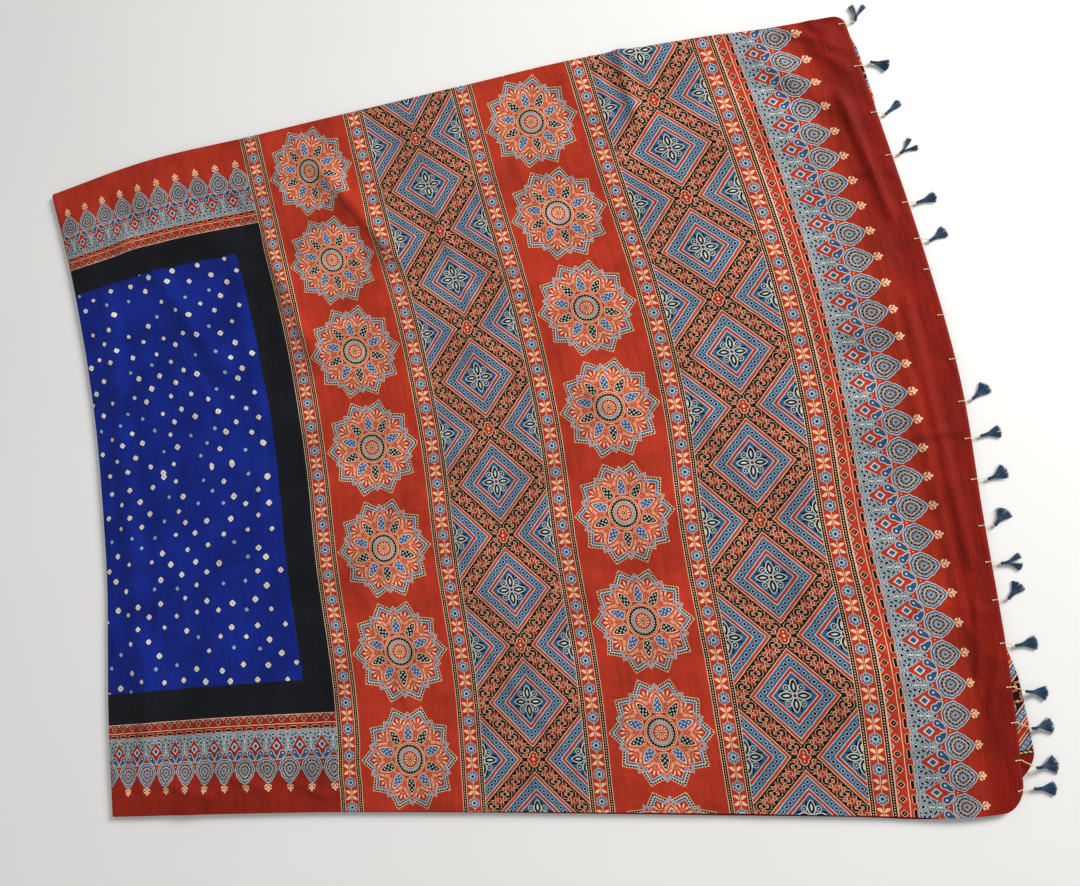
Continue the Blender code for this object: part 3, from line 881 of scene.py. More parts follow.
def joined(tree, x, y):
    """Two values as one place."""
    node = tree.nodes.new("ShaderNodeCombineXYZ")
    feed(tree, x, node.inputs[0])
    feed(tree, y, node.inputs[1])
    return Ink(tree, node.outputs[0])


def cloudy(tree, place, scale, detail=2.0, rough=0.5):
    """Soft random value over a place, from 0 to 1."""
    node = tree.nodes.new("ShaderNodeTexNoise")
    node.noise_dimensions = "2D"
    tree.links.new(place.socket, node.inputs["Vector"])
    node.inputs["Scale"].default_value = scale
    node.inputs["Detail"].default_value = detail
    node.inputs["Roughness"].default_value = rough
    return Ink(tree, node.outputs["Fac"])


def speckled(tree, scale, detail=2.0):
    """Soft random value over a piece's own place."""
    place = tree.nodes.new("ShaderNodeTexCoord")
    node = tree.nodes.new("ShaderNodeTexNoise")
    tree.links.new(place.outputs["Object"], node.inputs["Vector"])
    node.inputs["Scale"].default_value = scale
    node.inputs["Detail"].default_value = detail
    return Ink(tree, node.outputs["Fac"])


def finish(tree, colour, roughness, height=None, deep=0.0):
    """The main shader of a material, with what changes over it, and its bump."""
    shader = tree.nodes["Principled BSDF"]
    feed(tree, colour, shader.inputs["Base Color"])
    feed(tree, roughness, shader.inputs["Roughness"])
    if height is not None:
        bump = tree.nodes.new("ShaderNodeBump")
        bump.inputs["Distance"].default_value = deep
        feed(tree, height, bump.inputs["Height"])
        tree.links.new(bump.outputs["Normal"], shader.inputs["Normal"])
    return shader


# The woven ground, in noise scales a metre: clouds of dye, threads over and along their run,
# soft crinkles and drawn lines. Then how strongly each shows.
CLOUD_SCALE = 14.0
OVER_THREADS = 620.0
ALONG_THREADS = 16.0
CRINKLE_SCALE = 34.0
CRINKLE_STRETCH = (1.8, 0.7)
LINE_SCALES = (70.0, 5.0)
CLOUDS_SHOW = 2.3
THREADS_SHOW = 0.55
BUMP_DEEP = 0.0012
WOBBLE_SCALE = 90.0


def make_woven():
    """Group: woven cotton's unevenness of dye, sheen streaks painted into the colour and set in the
    roughness, weave and small crinkles.
    """
    group, start, end = new_group(
        "woven cotton",
        (
            ("Colour", "NodeSocketColor", (0.5, 0.5, 0.5, 1.0)),
            ("Dye Unevenness", "NodeSocketFloat", 0.30),
            ("Crinkle", "NodeSocketFloat", 0.5),
        ),
        (("Colour", "NodeSocketColor"), ("Roughness", "NodeSocketFloat"), ("Height", "NodeSocketFloat")),
    )
    along, across = read_map(group, "print")
    place = joined(group, along, across)
    clouds = cloudy(group, place, CLOUD_SCALE, 4.0, 0.6)
    warp = cloudy(group, joined(group, along * OVER_THREADS, across * ALONG_THREADS), 1.0, 1.0)
    weft = cloudy(group, joined(group, along * ALONG_THREADS, across * OVER_THREADS), 1.0, 1.0)
    threads = warp + weft
    amount = Ink(group, start.outputs["Dye Unevenness"])
    # Brightness laid over the colour: clouds of uneven dye, and thread streaks that are painted sheen.
    shade = (clouds - 0.5).times_plus(CLOUDS_SHOW, (threads - 1.0) * THREADS_SHOW)
    shade = shade.times_plus(amount, 1.0)
    bright = group.nodes.new("ShaderNodeCombineColor")
    for slot in bright.inputs[:3]:
        feed(group, shade, slot)
    tint = Printing(group, Ink(group, start.outputs["Colour"]))
    tint.lay(Ink(group, bright.outputs[0]), 1.0, "MULTIPLY")
    feed(group, tint.colour, end.inputs["Colour"])
    rough = threads.times_plus(0.10, 0.52)
    feed(group, rough + clouds * 0.10, end.inputs["Roughness"])
    stretched = joined(group, along * CRINKLE_STRETCH[0], across * CRINKLE_STRETCH[1])
    crinkle = cloudy(group, stretched, CRINKLE_SCALE, 3.0, 0.55)
    lines = cloudy(group, joined(group, along * LINE_SCALES[0], across * LINE_SCALES[1]), 1.0, 2.0)
    creased = crinkle.times_plus(1.1, lines * 0.6)
    height = creased * Ink(group, start.outputs["Crinkle"])
    feed(group, threads.times_plus(0.05, height), end.inputs["Height"])
    return group


def make_hand_laid():
    """Group: a zone's own block place, with the small wobble of blocks laid by hand."""
    group, start, end = new_group(
        "hand laid blocks",
        (("Wobble", "NodeSocketFloat", 0.0007), ("Pitch", "NodeSocketFloat", 0.038)),
        (("Away", "NodeSocketFloat"), ("Repeats", "NodeSocketFloat")),
    )
    away, repeats = read_map(group, "block")
    along, across = read_map(group, "print")
    place = joined(group, along, across)
    wobble = Ink(group, start.outputs["Wobble"])
    first = cloudy(group, place, WOBBLE_SCALE, 1.0) - 0.5
    second = cloudy(group, joined(group, across + 3.0, along), WOBBLE_SCALE, 1.0) - 0.5
    feed(group, first.times_plus(wobble * 2.0, away), end.inputs["Away"])
    shifted = (second * 2.0 * wobble).sum("DIVIDE", Ink(group, start.outputs["Pitch"]))
    feed(group, shifted + repeats, end.inputs["Repeats"])
    return group


def place_group(tree, group, **values):
    """A node of a group with some of its inputs set."""
    node = tree.nodes.new("ShaderNodeGroup")
    node.node_tree = group
    for label, value in values.items():
        feed(tree, value, node.inputs[label.replace("_", " ")])
    return node


def cloth_finish(tree, colour, woven, uneven=0.34, crinkle=0.8):
    """Woven cotton's shader over a printed colour."""
    node = place_group(tree, woven, Colour=colour, Dye_Unevenness=uneven, Crinkle=crinkle)
    changing = [Ink(tree, node.outputs[label]) for label in ("Colour", "Roughness", "Height")]
    shader = finish(tree, *changing, BUMP_DEEP)
    shader.inputs["Sheen Weight"].default_value = 0.03
    shader.inputs["Sheen Roughness"].default_value = 0.45
    shader.inputs["Specular IOR Level"].default_value = 0.09


def new_material(name):
    """A material with one main shader."""
    material = bpy.data.materials.new(name)
    material.use_nodes = True
    return material, material.node_tree


def block_inputs(tree, hand_laid, wobble, pitch):
    """A block's own place: metres away from its set line, and repeats."""
    node = place_group(tree, hand_laid, Wobble=wobble, Pitch=pitch)
    return Ink(tree, node.outputs["Away"]), Ink(tree, node.outputs["Repeats"])


EYE_PITCH = 0.0386


def eye_border(hand_laid, woven):
    """Narrow border: a row of scalloped eyes and leaf pairs between roped lines."""
    material, tree = new_material("eye_border_print")
    away, repeats = block_inputs(tree, hand_laid, 0.0005, EYE_PITCH)
    side = away.size()
    ahead = repeats.from_nearest(1.0) * EYE_PITCH
    dyes = Printing(tree, MADDER)
    dyes.rings(side, (CREAM, 0.01350, 0.00350), (BLACK, 0.01345, 0.00265))
    dots = repeats.from_nearest(1.0 / 11.0) * EYE_PITCH
    dyes.lay(CREAM, (side - 0.01345).away(dots).under(0.00082))
    from_mid = (repeats + 0.5).from_nearest(1.0) * EYE_PITCH
    dyes.lay(CREAM, side.under(0.00045) * from_mid.under(0.0112))
    u, v = turned(side - 0.0043, from_mid - 0.0048, 38.0)
    dyes.lay(CREAM, leaf(u, v.times_plus(1.0, u * u * 70.0), 0.0048, 0.0022))
    far = side.away(ahead)
    around = ahead.angle_to(side)
    edge = (around * 8.0).wave().times_plus(0.00045, far)
    dyes.rings(edge, (GREY, 0.0078), (FRAME_BLUE, 0.0071))
    dyes.lay(GREY, (around * 8.0).crest().over(0.55) * far.near(0.0052, 0.0006))
    dyes.rings(far, (GREY, 0.0038), (FRAME_BLUE, 0.0025), (BLACK, 0.0015))
    cloth_finish(tree, dyes.colour, woven)
    return material


STAR_PITCH = 0.154
STAR_RADIUS_ALONG = 0.0745
STAR_RADIUS_ACROSS = 0.0775


def star_stripe(hand_laid, woven):
    """Wide stripe: a row of ten-pointed stars on plain madder."""
    material, tree = new_material("star_stripe_print")
    away, repeats = block_inputs(tree, hand_laid, 0.0006, STAR_PITCH)
    x = away / STAR_RADIUS_ALONG
    y = repeats.sum("WRAP", 0.5, -0.5) * (-STAR_PITCH / STAR_RADIUS_ACROSS)
    r = x.away(y)
    angle = x.angle_to(y)
    tenth = math.pi / 5.0
    inner_angle = angle.from_nearest(tenth)
    outer_angle = (angle + tenth / 2.0).from_nearest(tenth)
    dyes = Printing(tree, MADDER)

    # Outer petals: a row of black dots, then blue and pale lines. Lengths are shares of a radius.
    ox = outer_angle.crest() * r
    oy = outer_angle.wave() * r
    corner = ox + oy
    dyes.lay(CREAM, corner.under(0.995))
    dots = (ox - oy).from_nearest(0.070).most((corner - 0.954).size())
    dyes.lay(BLACK, dots.under(0.0275))
    dyes.rings(corner, (GREY, 0.918), (FRAME_BLUE, 0.903), (GREY, 0.856), (MADDER, 0.842))

    # Inner petals, whose pale and blue tips show in the notches.
    ix = inner_angle.crest() * r
    iy = inner_angle.wave() * r
    tip = iy.times_plus(1.15, ix)
    outer = ix.over(0.735)
    dyes.rings(tip, (GREY, 0.872), (EYE_BLUE, 0.856), (GREY, 0.826), (MADDER, 0.810), only=outer)

    # A spray of leaves in each outer petal, on two small scrolls.
    spray_x = ox - 0.600
    spray_far = spray_x.away(oy)
    spread = oy.angle_to(spray_x)
    rays = (spread * 10.6).crest()
    blades = (spray_far - 0.120).size() - rays * 0.056
    dyes.lay(CREAM, blades.under(0.0) * spread.under(2.0))
    dyes.lay(PINK, spray_far.near(0.050, 0.007) * ox.over(0.58))
    dyes.lay(PINK, oy.under(0.0060) * ox.near(0.610, 0.050))
    curl = (ox - 0.560).away(oy - 0.052)
    dyes.rings(curl, (PINK, 0.036, 0.0080), (PINK, 0.012, 0.0070))

    # Bands of the inner petals and the scrolls between the drops.
    petal = iy.times_plus(2.05, ix)
    far_out = tip.under(0.80)
    dyes.rings(petal, (PINK, 0.872, 0.009), (PINK, 0.800, 0.008), only=far_out)
    dyes.lay(CREAM, (iy * 60.0).wave().over(0.35) * petal.near(0.836, 0.015) * far_out)
    low = oy.times_plus(1.3, ox)
    dyes.lay(PINK, low.near(0.490, 0.008) * ox.over(0.30))
    knot = (ox - 0.395).away(oy - 0.030)
    dyes.lay(PINK, knot.near(0.027, 0.0075))
    dyes.lay(CREAM, r.near(0.306, 0.007))

    # Drops round the middle, alternately blue and black.
    odd = (angle / (2.0 * tenth) + 0.25).sum("FRACT").over(0.5)
    up = (ix - 0.445) / 0.215
    down = (0.445 - ix) / 0.100
    drop = up.most(down).power(1.6) + (iy / 0.088).power(1.35)
    dyes.rings(drop, (PINK, 1.62), (MADDER, 1.42))
    lobe = (ix - 0.372).away(iy - 0.050)
    dyes.lay(CREAM, drop.under(1.08).most(lobe.under(0.034)))
    body = Printing(tree, DROP_BLUE)
    body.lay(BLACK, odd)
    dyes.lay(body.colour, drop.under(0.82).most(lobe.under(0.021)))
    dyes.lay(GREY, lobe.under(0.008))
    even = (ix - 0.400).from_nearest(0.084).away(iy.from_nearest(0.084))
    offset = (ix - 0.442).from_nearest(0.084).away((iy - 0.042).from_nearest(0.084))
    dyes.lay(GREY, even.least(offset).under(0.0165) * drop.under(0.66))

    # The round middle.
    turn = (angle * 14.0).wave().size()
    scallop = turn.times_plus(-0.020, r)
    dyes.rings(scallop, (CREAM, 0.268), (BLACK, 0.254))
    dyes.lay(CREAM, turn.times_plus(0.018, r).under(0.235))
    dyes.rings(r, (EYE_BLUE, 0.212), (GREY, 0.198), (EYE_BLUE, 0.184), (CREAM, 0.166), (MADDER, 0.152))
    petals = (angle * 6.0).wave().size().over(0.68)
    dyes.lay(CREAM, r.near(0.084, 0.036) * petals)
    dyes.rings(r, (CREAM, 0.032), (BLACK, 0.020))
    cloth_finish(tree, dyes.colour, woven, uneven=0.42, crinkle=0.9)
    return material


LOZENGE_PITCH = 0.1583
HALF_ALONG = 0.0597
HALF_ACROSS = 0.0632
LOZENGE_SIDE = 0.0760
VINE_CELL = 0.0124
VINE_SWING = 0.0040
BAND_MIDDLE = 1.265
FRAME_MIDDLE = 0.742
FRAME_SQUARES = 8


def lozenge_stripe(hand_laid, woven):
    """Wide stripe: framed lozenges and half lozenges with a scrolling vine between them."""
    material, tree = new_material("lozenge_stripe_print")
    away, repeats = block_inputs(tree, hand_laid, 0.0006, LOZENGE_PITCH)
    edge_long = math.hypot(HALF_ALONG, HALF_ACROSS)
    deep = HALF_ALONG * HALF_ACROSS / edge_long
    ax = away.size()
    ay = repeats.from_nearest(1.0) * LOZENGE_PITCH
    bx = (LOZENGE_SIDE - ax).size()
    by = (repeats + 0.5).from_nearest(1.0) * LOZENGE_PITCH
    mid = ax.times_plus(1.0 / HALF_ALONG, ay / HALF_ACROSS)
    side = bx.times_plus(1.0 / HALF_ALONG, by / HALF_ACROSS)
    at_side = side.under(mid)
    x = (bx - ax).times_plus(at_side, ax)
    y = (by - ay).times_plus(at_side, ay)
    d = mid.least(side)
    dyes = Printing(tree, BLACK)

    # The vine in the band between two lozenges, in metres; d is the share of a lozenge's half.
    run = x.times_plus(-HALF_ALONG / edge_long, y * (HALF_ACROSS / edge_long))
    flip = (run * (0.5 / VINE_CELL)).sum("FRACT").over(0.5)
    turn = flip.times_plus(2.0, -1.0)
    cross = (d - BAND_MIDDLE) * deep * turn
    step = run.sum("WRAP", VINE_CELL, 0.0) - VINE_CELL / 2.0
    wave = (step * (math.pi / VINE_CELL)).crest()
    wavy = wave.times_plus(-VINE_SWING, cross)
    dark_side = (wavy * turn).over(0.0)
    filled = Printing(tree, BLACK)
    filled.lay(VINE_RED, dark_side)
    dyes.lay(CREAM, cross.size().under(0.0098))
    dyes.lay(VINE_RED, cross.size().under(0.0090))
    dyes.lay(BLACK, cross.size().under(0.0090) * dark_side)
    dyes.rings(wavy, (CREAM, 0.0002, 0.00180), (VINE_RED, 0.0002, 0.00110))
    stud = (cross - 0.0088).away(step - 0.0006)
    dyes.rings(stud, (CREAM, 0.0039), (filled.colour, 0.0032))
    corner = (cross + 0.0090).away(step.size() - 0.0062)
    dyes.lay(filled.colour, corner.under(0.0030))
    hook = (cross + 0.0030).away(step + 0.0006)
    open_side = (cross + step * 0.8).under(0.0004)
    dyes.rings(hook, (CREAM, 0.0041, 0.0023), (filled.colour, 0.0041, 0.00175), only=open_side)
    knob = (cross + 0.0002).away(step + 0.0038)
    dyes.rings(knob, (CREAM, 0.0032), (filled.colour, 0.0027))
    bloom = (cross + 0.0030).size().root() + (step + 0.0006).size().root()
    dyes.rings(bloom, (CREAM, 0.0640), (VINE_RED, 0.0560))
    blade_u, blade_v = turned(step - 0.0038, cross - 0.0042, 130.0)
    dyes.lay(CREAM, leaf(blade_u, blade_v, 0.0038, 0.0023))
    dyes.lay(VINE_RED, leaf(blade_u, blade_v, 0.0031, 0.0017))
    dyes.lay(BLACK, d.near(1.026, 0.028))

    # Four-petalled flowers where the bands cross.
    nx = away.size()
    ends = nx.away(by - 0.0052)
    arms = (nx - 0.0046).away(by)
    flower = ends.least(arms + 0.0012)
    dyes.rings(flower, (BLACK, 0.0072), (CREAM, 0.0058), (MADDER, 0.0048))
    dyes.lay(CREAM, nx.away(by - 0.0056).under(0.0011))
    dyes.lay(CREAM, nx.plus(by).under(0.0024))

    # The lozenge's frames from the outside in.
    dyes.rings(d, (CREAM, 0.998), (MADDER, 0.976))
    dyes.lay(PINK, d.near(0.936, 0.007) * (run * (TURN / 0.0030)).wave().over(0.35))
    dyes.rings(d, (GREY, 0.892), (FRAME_BLUE, 0.868))
    pitch = edge_long * FRAME_MIDDLE / FRAME_SQUARES
    first = HALF_ALONG * HALF_ALONG * FRAME_MIDDLE / edge_long
    dx = (run + first).from_nearest(pitch)
    dy = ((d - FRAME_MIDDLE) * deep).size()
    square = dx.most(dy).times_plus(0.5, dx.away(dy) * 0.5)
    dyes.rings(square, (GREY, 0.00262), (BLACK, 0.00198))
    dyes.rings(d, (GREY, 0.616), (MADDER, 0.592), (GREY, 0.506), (LACE_BLUE, 0.482))

    # Four dark petals with pale edges in its middle, and knots between them.
    up = y - 0.0120
    out = x - 0.0110
    for colour, long, wide, long_out, wide_out in (
        (GREY, 0.0114, 0.0060, 0.0106, 0.0056),
        (BLACK, 0.0098, 0.0044, 0.0090, 0.0041),
        (GREY, 0.0052, 0.0015, 0.0048, 0.0014),
    ):
        dyes.lay(colour, leaf(up, x, long, wide).most(leaf(out, y, long_out, wide_out)))
    knot = (x - 0.0098).away(y - 0.0106)
    dyes.rings(knot, (GREY, 0.0042), (BLACK, 0.0032), (GREY, 0.0012))
    for p, q, far, beside in ((x, y, 0.0172, 0.0060), (y, x, 0.0166, 0.0056)):
        dyes.lay(BLACK, leaf((p - 0.0066).times_plus(0.6, q - far), p - beside, 0.0044, 0.0016))
    heart = x.away(y)
    dyes.rings(heart, (GREY, 0.0036), (MADDER_DARK, 0.0024))
    cloth_finish(tree, dyes.colour, woven)
    return material


ARCH_PITCH = 0.0376
CURL_PITCH = (0.0066, 0.0060)
BULB_MIDDLE = 0.0812
BULB_HALF_WIDE = 0.0174
BULB_BASE = 0.0178
BULB_POINT = 0.0218
SPRIG_MIDDLE = 0.1108


def arch_border(hand_laid, woven):
    """Deep border: small diamonds and dashes under a row of leafy pointed bulbs."""
    material, tree = new_material("arch_border_print")
    away, repeats = block_inputs(tree, hand_laid, 0.0006, ARCH_PITCH)
    along, across = read_map(tree, "print")
    side = repeats.from_nearest(1.0) * ARCH_PITCH
    between = (repeats + 0.5).from_nearest(1.0) * ARCH_PITCH
    dyes = Printing(tree, MADDER)
    # Painted shade: the madder ground is laid darker toward the end hem, and darker toward the lower
    # selvedge along the tied part's borders.
    dyes.lay(DEEP_MADDER_AND_SHADE, along.clamped(-1.0 / 0.060, 1.75))
    dyes.lay(DEEP_MADDER_AND_SHADE, along.over(TIED_START) * across.clamped(0.50, 0.12))

    # Chevron band, line and dashes.
    pair = (repeats + 0.25).from_nearest(0.5) * ARCH_PITCH
    gap = repeats.from_nearest(0.5) * ARCH_PITCH
    diamond = (away - 0.0070).size() + pair
    dyes.rings(diamond, (CREAM, 0.0050), (BLACK, 0.0041), (CREAM, 0.0008))
    wedge = away.times_plus(1.1, gap)
    dyes.rings(wedge, (CREAM, 0.0054), (EYE_BLUE, 0.0044))
    dyes.rings(away, (CREAM, 0.0008), (CREAM, 0.0142, 0.00050))
    dash = (pair - 0.0040).most(0.0).away(away - 0.0200)
    dyes.rings(dash, (CREAM, 0.0025), (BLACK, 0.0019))

    # Filigree: a busy blue band that rises into a stem under each bulb.
    wall = (between - 0.0010).most(0.0).times_plus(1.55, 0.0325)
    room = (wall - away).least(away - 0.0234).least(0.0640 - away)
    dyes.lay(GREY, room.over(0.0))
    dyes.lay(PRINT_BLUE, room.over(0.00075))
    bent_side = (away * 730.0).wave().times_plus(0.0012, side)
    bent_away = (side * 610.0 + away * 190.0).wave().times_plus(0.0013, away)
    wide, high = CURL_PITCH
    loop_a = bent_side.from_nearest(wide).away(bent_away.from_nearest(high))
    loop_b = (bent_side - wide / 2).from_nearest(wide).away((bent_away - high / 2).from_nearest(high))
    curls = loop_a.near(0.00240, 0.00032).most(loop_b.near(0.00130, 0.00028))
    inner = room.over(0.0012)
    dyes.lay(GREY, curls * inner)
    dyes.lay(BLACK, loop_a.under(0.00165) * inner)
    post = side + (away - 0.0292).size()
    dyes.rings(post, (GREY, 0.0066), (PRINT_BLUE, 0.0056), (GREY, 0.0040), (BLACK, 0.0025))
    for height in (0.0392, 0.0484):
        bloom = side.away(away - height)
        petal = (side.most((away - height).size()) * 0.5).plus(bloom * 0.5)
        dyes.lay(GREY, petal.under(0.0031))
        dyes.lay(BLACK, (side - 0.0020).away((away - height).size() - 0.0014).under(0.0010))
    stone = between.times_plus(1.0 / 0.0062, (away - 0.0462).size() / 0.0068)
    dyes.rings(stone, (GREY, 1.0), (PRINT_BLUE, 0.64))

    # Curled leaves, with their points outward.
    hx, hy = turned(side - 0.0108, away - 0.0600, 58.0)
    head = (side - 0.0092).away(away - 0.0572)
    for colour, long, wide, knob in ((GREY, 0.0086, 0.0046, 0.0056), (PRINT_BLUE, 0.0072, 0.0034, 0.0046)):
        blade = leaf(hx - 0.0020, hy.times_plus(1.0, hx * 0.18), long, wide)
        dyes.lay(colour, blade.most(head.under(knob)))
    dyes.lay(GREY, head.under(0.0014))

    # The bulb.
    bx = side / BULB_HALF_WIDE
    base = ((BULB_MIDDLE - away) / BULB_BASE).most(0.0)
    high = ((away - BULB_MIDDLE) / BULB_POINT).most(0.0)
    point = (bx.away(high) * 0.45).plus((bx + high) * 0.55)
    bulb = (point - bx.away(base)).times_plus(away.over(BULB_MIDDLE), bx.away(base))
    around = side.angle_to(away - BULB_MIDDLE)
    frill = (around * 10.0).crest().times_plus(0.020, bulb)
    dyes.rings(frill, (GREY, 1.01), (LACE_BLUE, 0.95), (GREY, 0.82))
    dyes.lay(PRINT_BLUE, bulb.under(0.775))
    spokes = (around * 7.0).wave().size()
    dyes.lay(CREAM, bulb.near(0.640, 0.100) * spokes.over(0.32))
    dyes.lay(BLACK, bulb.near(0.640, 0.080) * spokes.over(0.46))
    dyes.lay(GREY, bulb.near(0.500, 0.020))
    beads = (around * 5.0).wave().size()
    dyes.lay(CREAM, bulb.near(0.370, 0.094) * beads.over(0.30))
    dyes.lay(BLACK, bulb.near(0.370, 0.074) * beads.over(0.44))
    dyes.rings(bulb, (GREY, 0.205), (EYE_BLUE, 0.160), (BLACK, 0.060))

    # The small sprig on the bulb's point.
    out = away - SPRIG_MIDDLE
    far = side.away(out)
    petals = (side.angle_to(out) * 4.0).crest().times_plus(0.0014, 0.0039)
    sprig = (petals - far).over(0.0).most(side.under(0.0006) * away.near(0.1050, 0.0030))
    bud_u, bud_v = turned(side - 0.0038, away - 0.1058, 50.0)
    dyes.lay(CREAM, sprig.most(leaf(bud_u, bud_v, 0.0032, 0.0014)))
    dyes.lay(MADDER, far.under(0.0010))
    dyes.lay(CREAM, between.away(away - 0.0720).under(0.0008))
    seam = away.near(0.1683, 0.0004) * along.under(0.02)
    dyes.lay(MADDER_DARK, seam * (across * (TURN / 0.0046)).wave().over(-0.35))
    cloth_finish(tree, dyes.colour, woven, uneven=0.44, crinkle=1.15)
    return material


BLACK_BAND = 0.048
BAND_WANDER = 0.006
DOT_STEP = 0.0315
DOT_SQUASH = 0.92
DOT_TURN = 40.0
DOT_UNEVEN = 0.44


def tied_field(woven):
    """The tie-dyed middle: deep blue with small tied dots, framed in black."""
    material, tree = new_material("tied_field_dye")
    along, across = read_map(tree, "print")
    place = joined(tree, along, across)
    edge = (cloudy(tree, place, 9.0, 2.0) - 0.5) * BAND_WANDER
    blue = (along + edge).over(TIED_START + BLACK_BAND)
    blue = blue * (across + edge).over(UPPER_BASE + BLACK_BAND)
    blue = blue * (across + edge).under(LOWER_BASE - BLACK_BAND - 0.002)
    dyes = Printing(tree, IRON_BLACK)
    dyes.lay(TIED_BLUE, blue)
    cells = tree.nodes.new("ShaderNodeTexVoronoi")
    cells.voronoi_dimensions = "2D"
    cells.feature = "F1"
    cells.distance = "MINKOWSKI"
    cells.inputs["Exponent"].default_value = 3.4
    cells.inputs["Randomness"].default_value = DOT_UNEVEN
    cells.inputs["Scale"].default_value = 1.0
    mirrored = (across - CLOTH_WIDTH / 2).size()
    u, v = turned(along, mirrored, DOT_TURN)
    knots = joined(tree, u / DOT_STEP, v / (DOT_STEP * DOT_SQUASH))
    feed(tree, knots, cells.inputs["Vector"])
    far = Ink(tree, cells.outputs["Distance"])
    split = tree.nodes.new("ShaderNodeSeparateColor")
    tree.links.new(cells.outputs["Color"], split.inputs[0])
    chance = Ink(tree, split.outputs[0])
    other = Ink(tree, split.outputs[1])
    ragged = cloudy(tree, place, 330.0, 1.0)
    reach = chance.times_plus(0.062, ragged.times_plus(0.050, 0.078))
    tied = other.over(0.08) * blue
    dyes.lay(TIED_SHADE, (reach + 0.06 - far).clamped(18.0, 0.0) * tied * 0.7)
    tone = Printing(tree, TIED_WHITE)
    tone.lay(PALE_BLUE, chance.under(0.22))
    dyes.lay(tone.colour, (reach - far).clamped(30.0, 0.0) * tied)
    heart = Printing(tree, TIED_OCHRE)
    heart.lay(TIED_SHADE, other.over(0.70))
    dyes.lay(heart.colour, (reach * 0.34 - far).clamped(30.0, 0.0) * tied * chance.over(0.10) * 0.8)
    cloth_finish(tree, dyes.colour, woven, uneven=0.50, crinkle=1.0)
    return material


def inner_end(woven):
    """The saree's inner end, which shows as a narrow wedge past the end hem."""
    material, tree = new_material("inner_end_print")
    along, across = read_map(tree, "print")
    u, v = turned(along, across, 45.0)
    dyes = Printing(tree, MADDER)
    step = (u + 0.016).from_nearest(0.060)
    dyes.lay(BLACK, step.under(0.0125))
    swing = (v * (TURN / 0.0150)).wave().times_plus(0.0030, step - 0.0060)
    dyes.rings(swing, (PINK, 0.0, 0.0014), (MADDER, 0.0, 0.0008))
    beads = v.from_nearest(0.0075).away(step - 0.0060)
    dyes.rings(beads, (CREAM, 0.0017), (MADDER, 0.0010))
    dyes.rings(step, (CREAM, 0.0130, 0.0006), (FRAME_BLUE, 0.0185, 0.0042))
    square = v.from_nearest(0.0062).most((step - 0.0185).size())
    dyes.rings(square, (GREY, 0.0019), (BLACK, 0.0010))
    dyes.rings(step, (CREAM, 0.0236, 0.0006), (CREAM, 0.0268, 0.0005))
    dyes.lay(BLACK, (across - 1.052).over(0.0))
    dyes.lay(CREAM, across.near(1.0550, 0.0012) * (v * (TURN / 0.0040)).wave().over(-0.4))
    dyes.lay(DEEP_MADDER_AND_SHADE, across.over(1.058))
    cloth_finish(tree, dyes.colour, woven, crinkle=0.75)
    return material


def thread_material(name, dark, light, pale):
    """Twisted thread, each strand in its own shade."""
    material, tree = new_material(name)
    node = tree.nodes.new("ShaderNodeAttribute")
    node.attribute_name = "thread_shade"
    shade = Ink(tree, node.outputs["Fac"])
    fuzz = speckled(tree, 1400.0)
    dyes = Printing(tree, dark)
    dyes.lay(light, shade.times_plus(0.8, (fuzz - 0.5) * 0.9).most(0.0).least(1.0))
    dyes.lay(pale, shade.over(1.2))
    shader = finish(tree, dyes.colour, fuzz.times_plus(0.25, 0.50), fuzz, 0.0002)
    shader.inputs["Sheen Weight"].default_value = 0.1
    shader.inputs["Specular IOR Level"].default_value = 0.4
    return material


# Floor, light and camera.


FLOOR_HALF = 9.0
FLOOR_LEVEL = -0.0002
LAMP_SPREAD = math.radians(100.0)
LAMPS = table(
    "name place wide power colour",
    ("window_light", (3.6, 1.4, 1.95), 1.5, 68.0, (1.0, 0.98, 0.95)),
    ("fill_light", (-1.8, -1.6, 2.2), 2.4, 3.0, (0.95, 0.97, 1.0)),
)
SURROUND = 0.35
CAMERA_PLACE = (0.497, -0.286, 1.5104)
CAMERA_TURN = (6.8349, 16.3438, -11.3988)
CAMERA_LENS = 36.0
CAMERA_SENSOR = 36.0


def build_floor():
    """A wide pale floor, which is no part of the saree."""
    mesh = bpy.data.meshes.new("pale_floor")
    corners = [(x * FLOOR_HALF, y * FLOOR_HALF, 0.0) for x, y in ((-1, -1), (1, -1), (1, 1), (-1, 1))]
    mesh.from_pydata(corners, [], [(0, 1, 2, 3)])
    material, tree = new_material("pale_floor")
    dyes = Printing(tree, (0.90, 0.90, 0.89, 1.0))
    dyes.lay((0.94, 0.94, 0.93, 1.0), speckled(tree, 3.0))
    shader = finish(tree, dyes.colour, 0.9)
    shader.inputs["Specular IOR Level"].default_value = 0.1
    mesh.materials.append(material)
    floor = place_object(mesh)
    floor.location.z = FLOOR_LEVEL


def soft_light(row):
    """A large soft lamp that points at the middle of the cloth."""
    lamp = bpy.data.lights.new(row.name, "AREA")
    lamp.shape = "SQUARE"
    lamp.size = row.wide
    lamp.energy = row.power
    lamp.spread = LAMP_SPREAD
    lamp.color = row.colour
    thing = bpy.data.objects.new(row.name, lamp)
    bpy.context.scene.collection.objects.link(thing)
    thing.location = row.place
    thing.rotation_euler = (-Vector(row.place)).to_track_quat("-Z", "Y").to_euler()


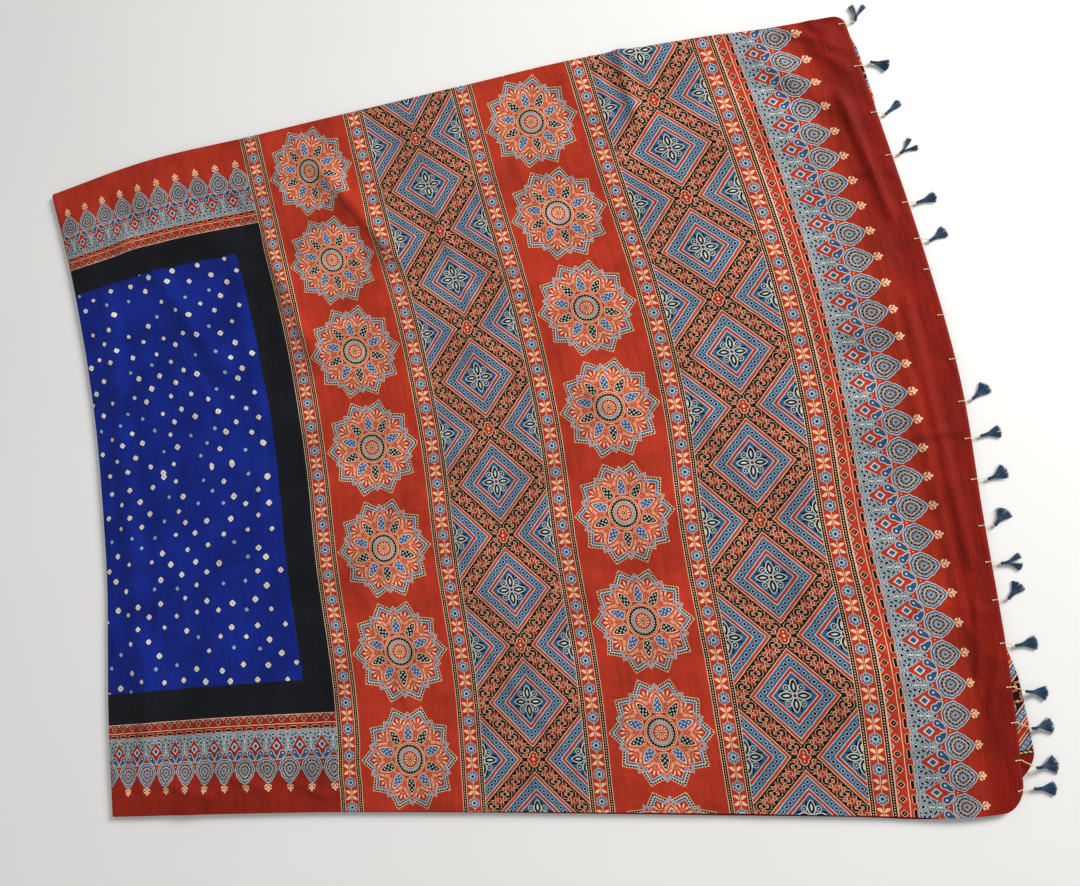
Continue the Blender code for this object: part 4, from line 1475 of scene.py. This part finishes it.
def build_stage():
    """Floor, two soft lamps, an even pale surround and the camera."""
    build_floor()
    for row in LAMPS:
        soft_light(row)
    world = bpy.data.worlds.new("even_surround")
    world.use_nodes = True
    world.node_tree.nodes["Background"].inputs["Color"].default_value = (1.0, 1.0, 1.0, 1.0)
    world.node_tree.nodes["Background"].inputs["Strength"].default_value = SURROUND
    scene = bpy.context.scene
    scene.world = world
    scene.view_settings.view_transform = "Standard"
    lens = bpy.data.cameras.new("camera")
    lens.lens = CAMERA_LENS
    lens.sensor_width = CAMERA_SENSOR
    lens.sensor_fit = "HORIZONTAL"
    lens.clip_start = 0.01
    camera = bpy.data.objects.new("camera", lens)
    scene.collection.objects.link(camera)
    camera.location = CAMERA_PLACE
    camera.rotation_euler = [math.radians(turn) for turn in CAMERA_TURN]
    scene.camera = camera


def main():
    build_stage()
    woven = make_woven()
    hand_laid = make_hand_laid()
    materials = {
        "arch": arch_border(hand_laid, woven),
        "eye": eye_border(hand_laid, woven),
        "lozenge": lozenge_stripe(hand_laid, woven),
        "star": star_stripe(hand_laid, woven),
        "tied": tied_field(woven),
        "inner": inner_end(woven),
    }
    cloth = build_cloth(materials)
    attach(cloth, "root")
    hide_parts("cloth")
    blue = thread_material("tassel_thread_blue", dye(5, 38, 66), dye(20, 80, 116), dye(214, 196, 164))
    cream = thread_material("tie_thread_cream", dye(206, 184, 146), dye(240, 226, 196), dye(240, 226, 196))
    draw = random.Random(SEED)
    for number, row in enumerate(TASSELS, start=1):
        tassel = build_tassel(number, row, blue, draw)
        centre = head_centre(row)
        start = cloth_point(0.0, row.across)
        back = Vector((start.x - centre.x, start.y - centre.y, 0.0)).normalized()
        path = tie_path(row.across, centre + back * (KNOB_RADIUS + 0.0003))
        tie = build_tie("tie_threads_%02d" % number, path, cream, draw, False)
        for piece, node, slot in ((tassel, "tassel_%02d", "tassel_thread"), (tie, "tie_%02d", "tie_thread")):
            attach(piece, "root")
            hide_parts(node % number)
    for number, across in enumerate(KNOTS, start=1):
        knot = build_tie("knot_threads_%02d" % number, tie_path(across, None), cream, draw, True)
        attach(knot, "root")
        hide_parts("knot_%02d" % number)


main()
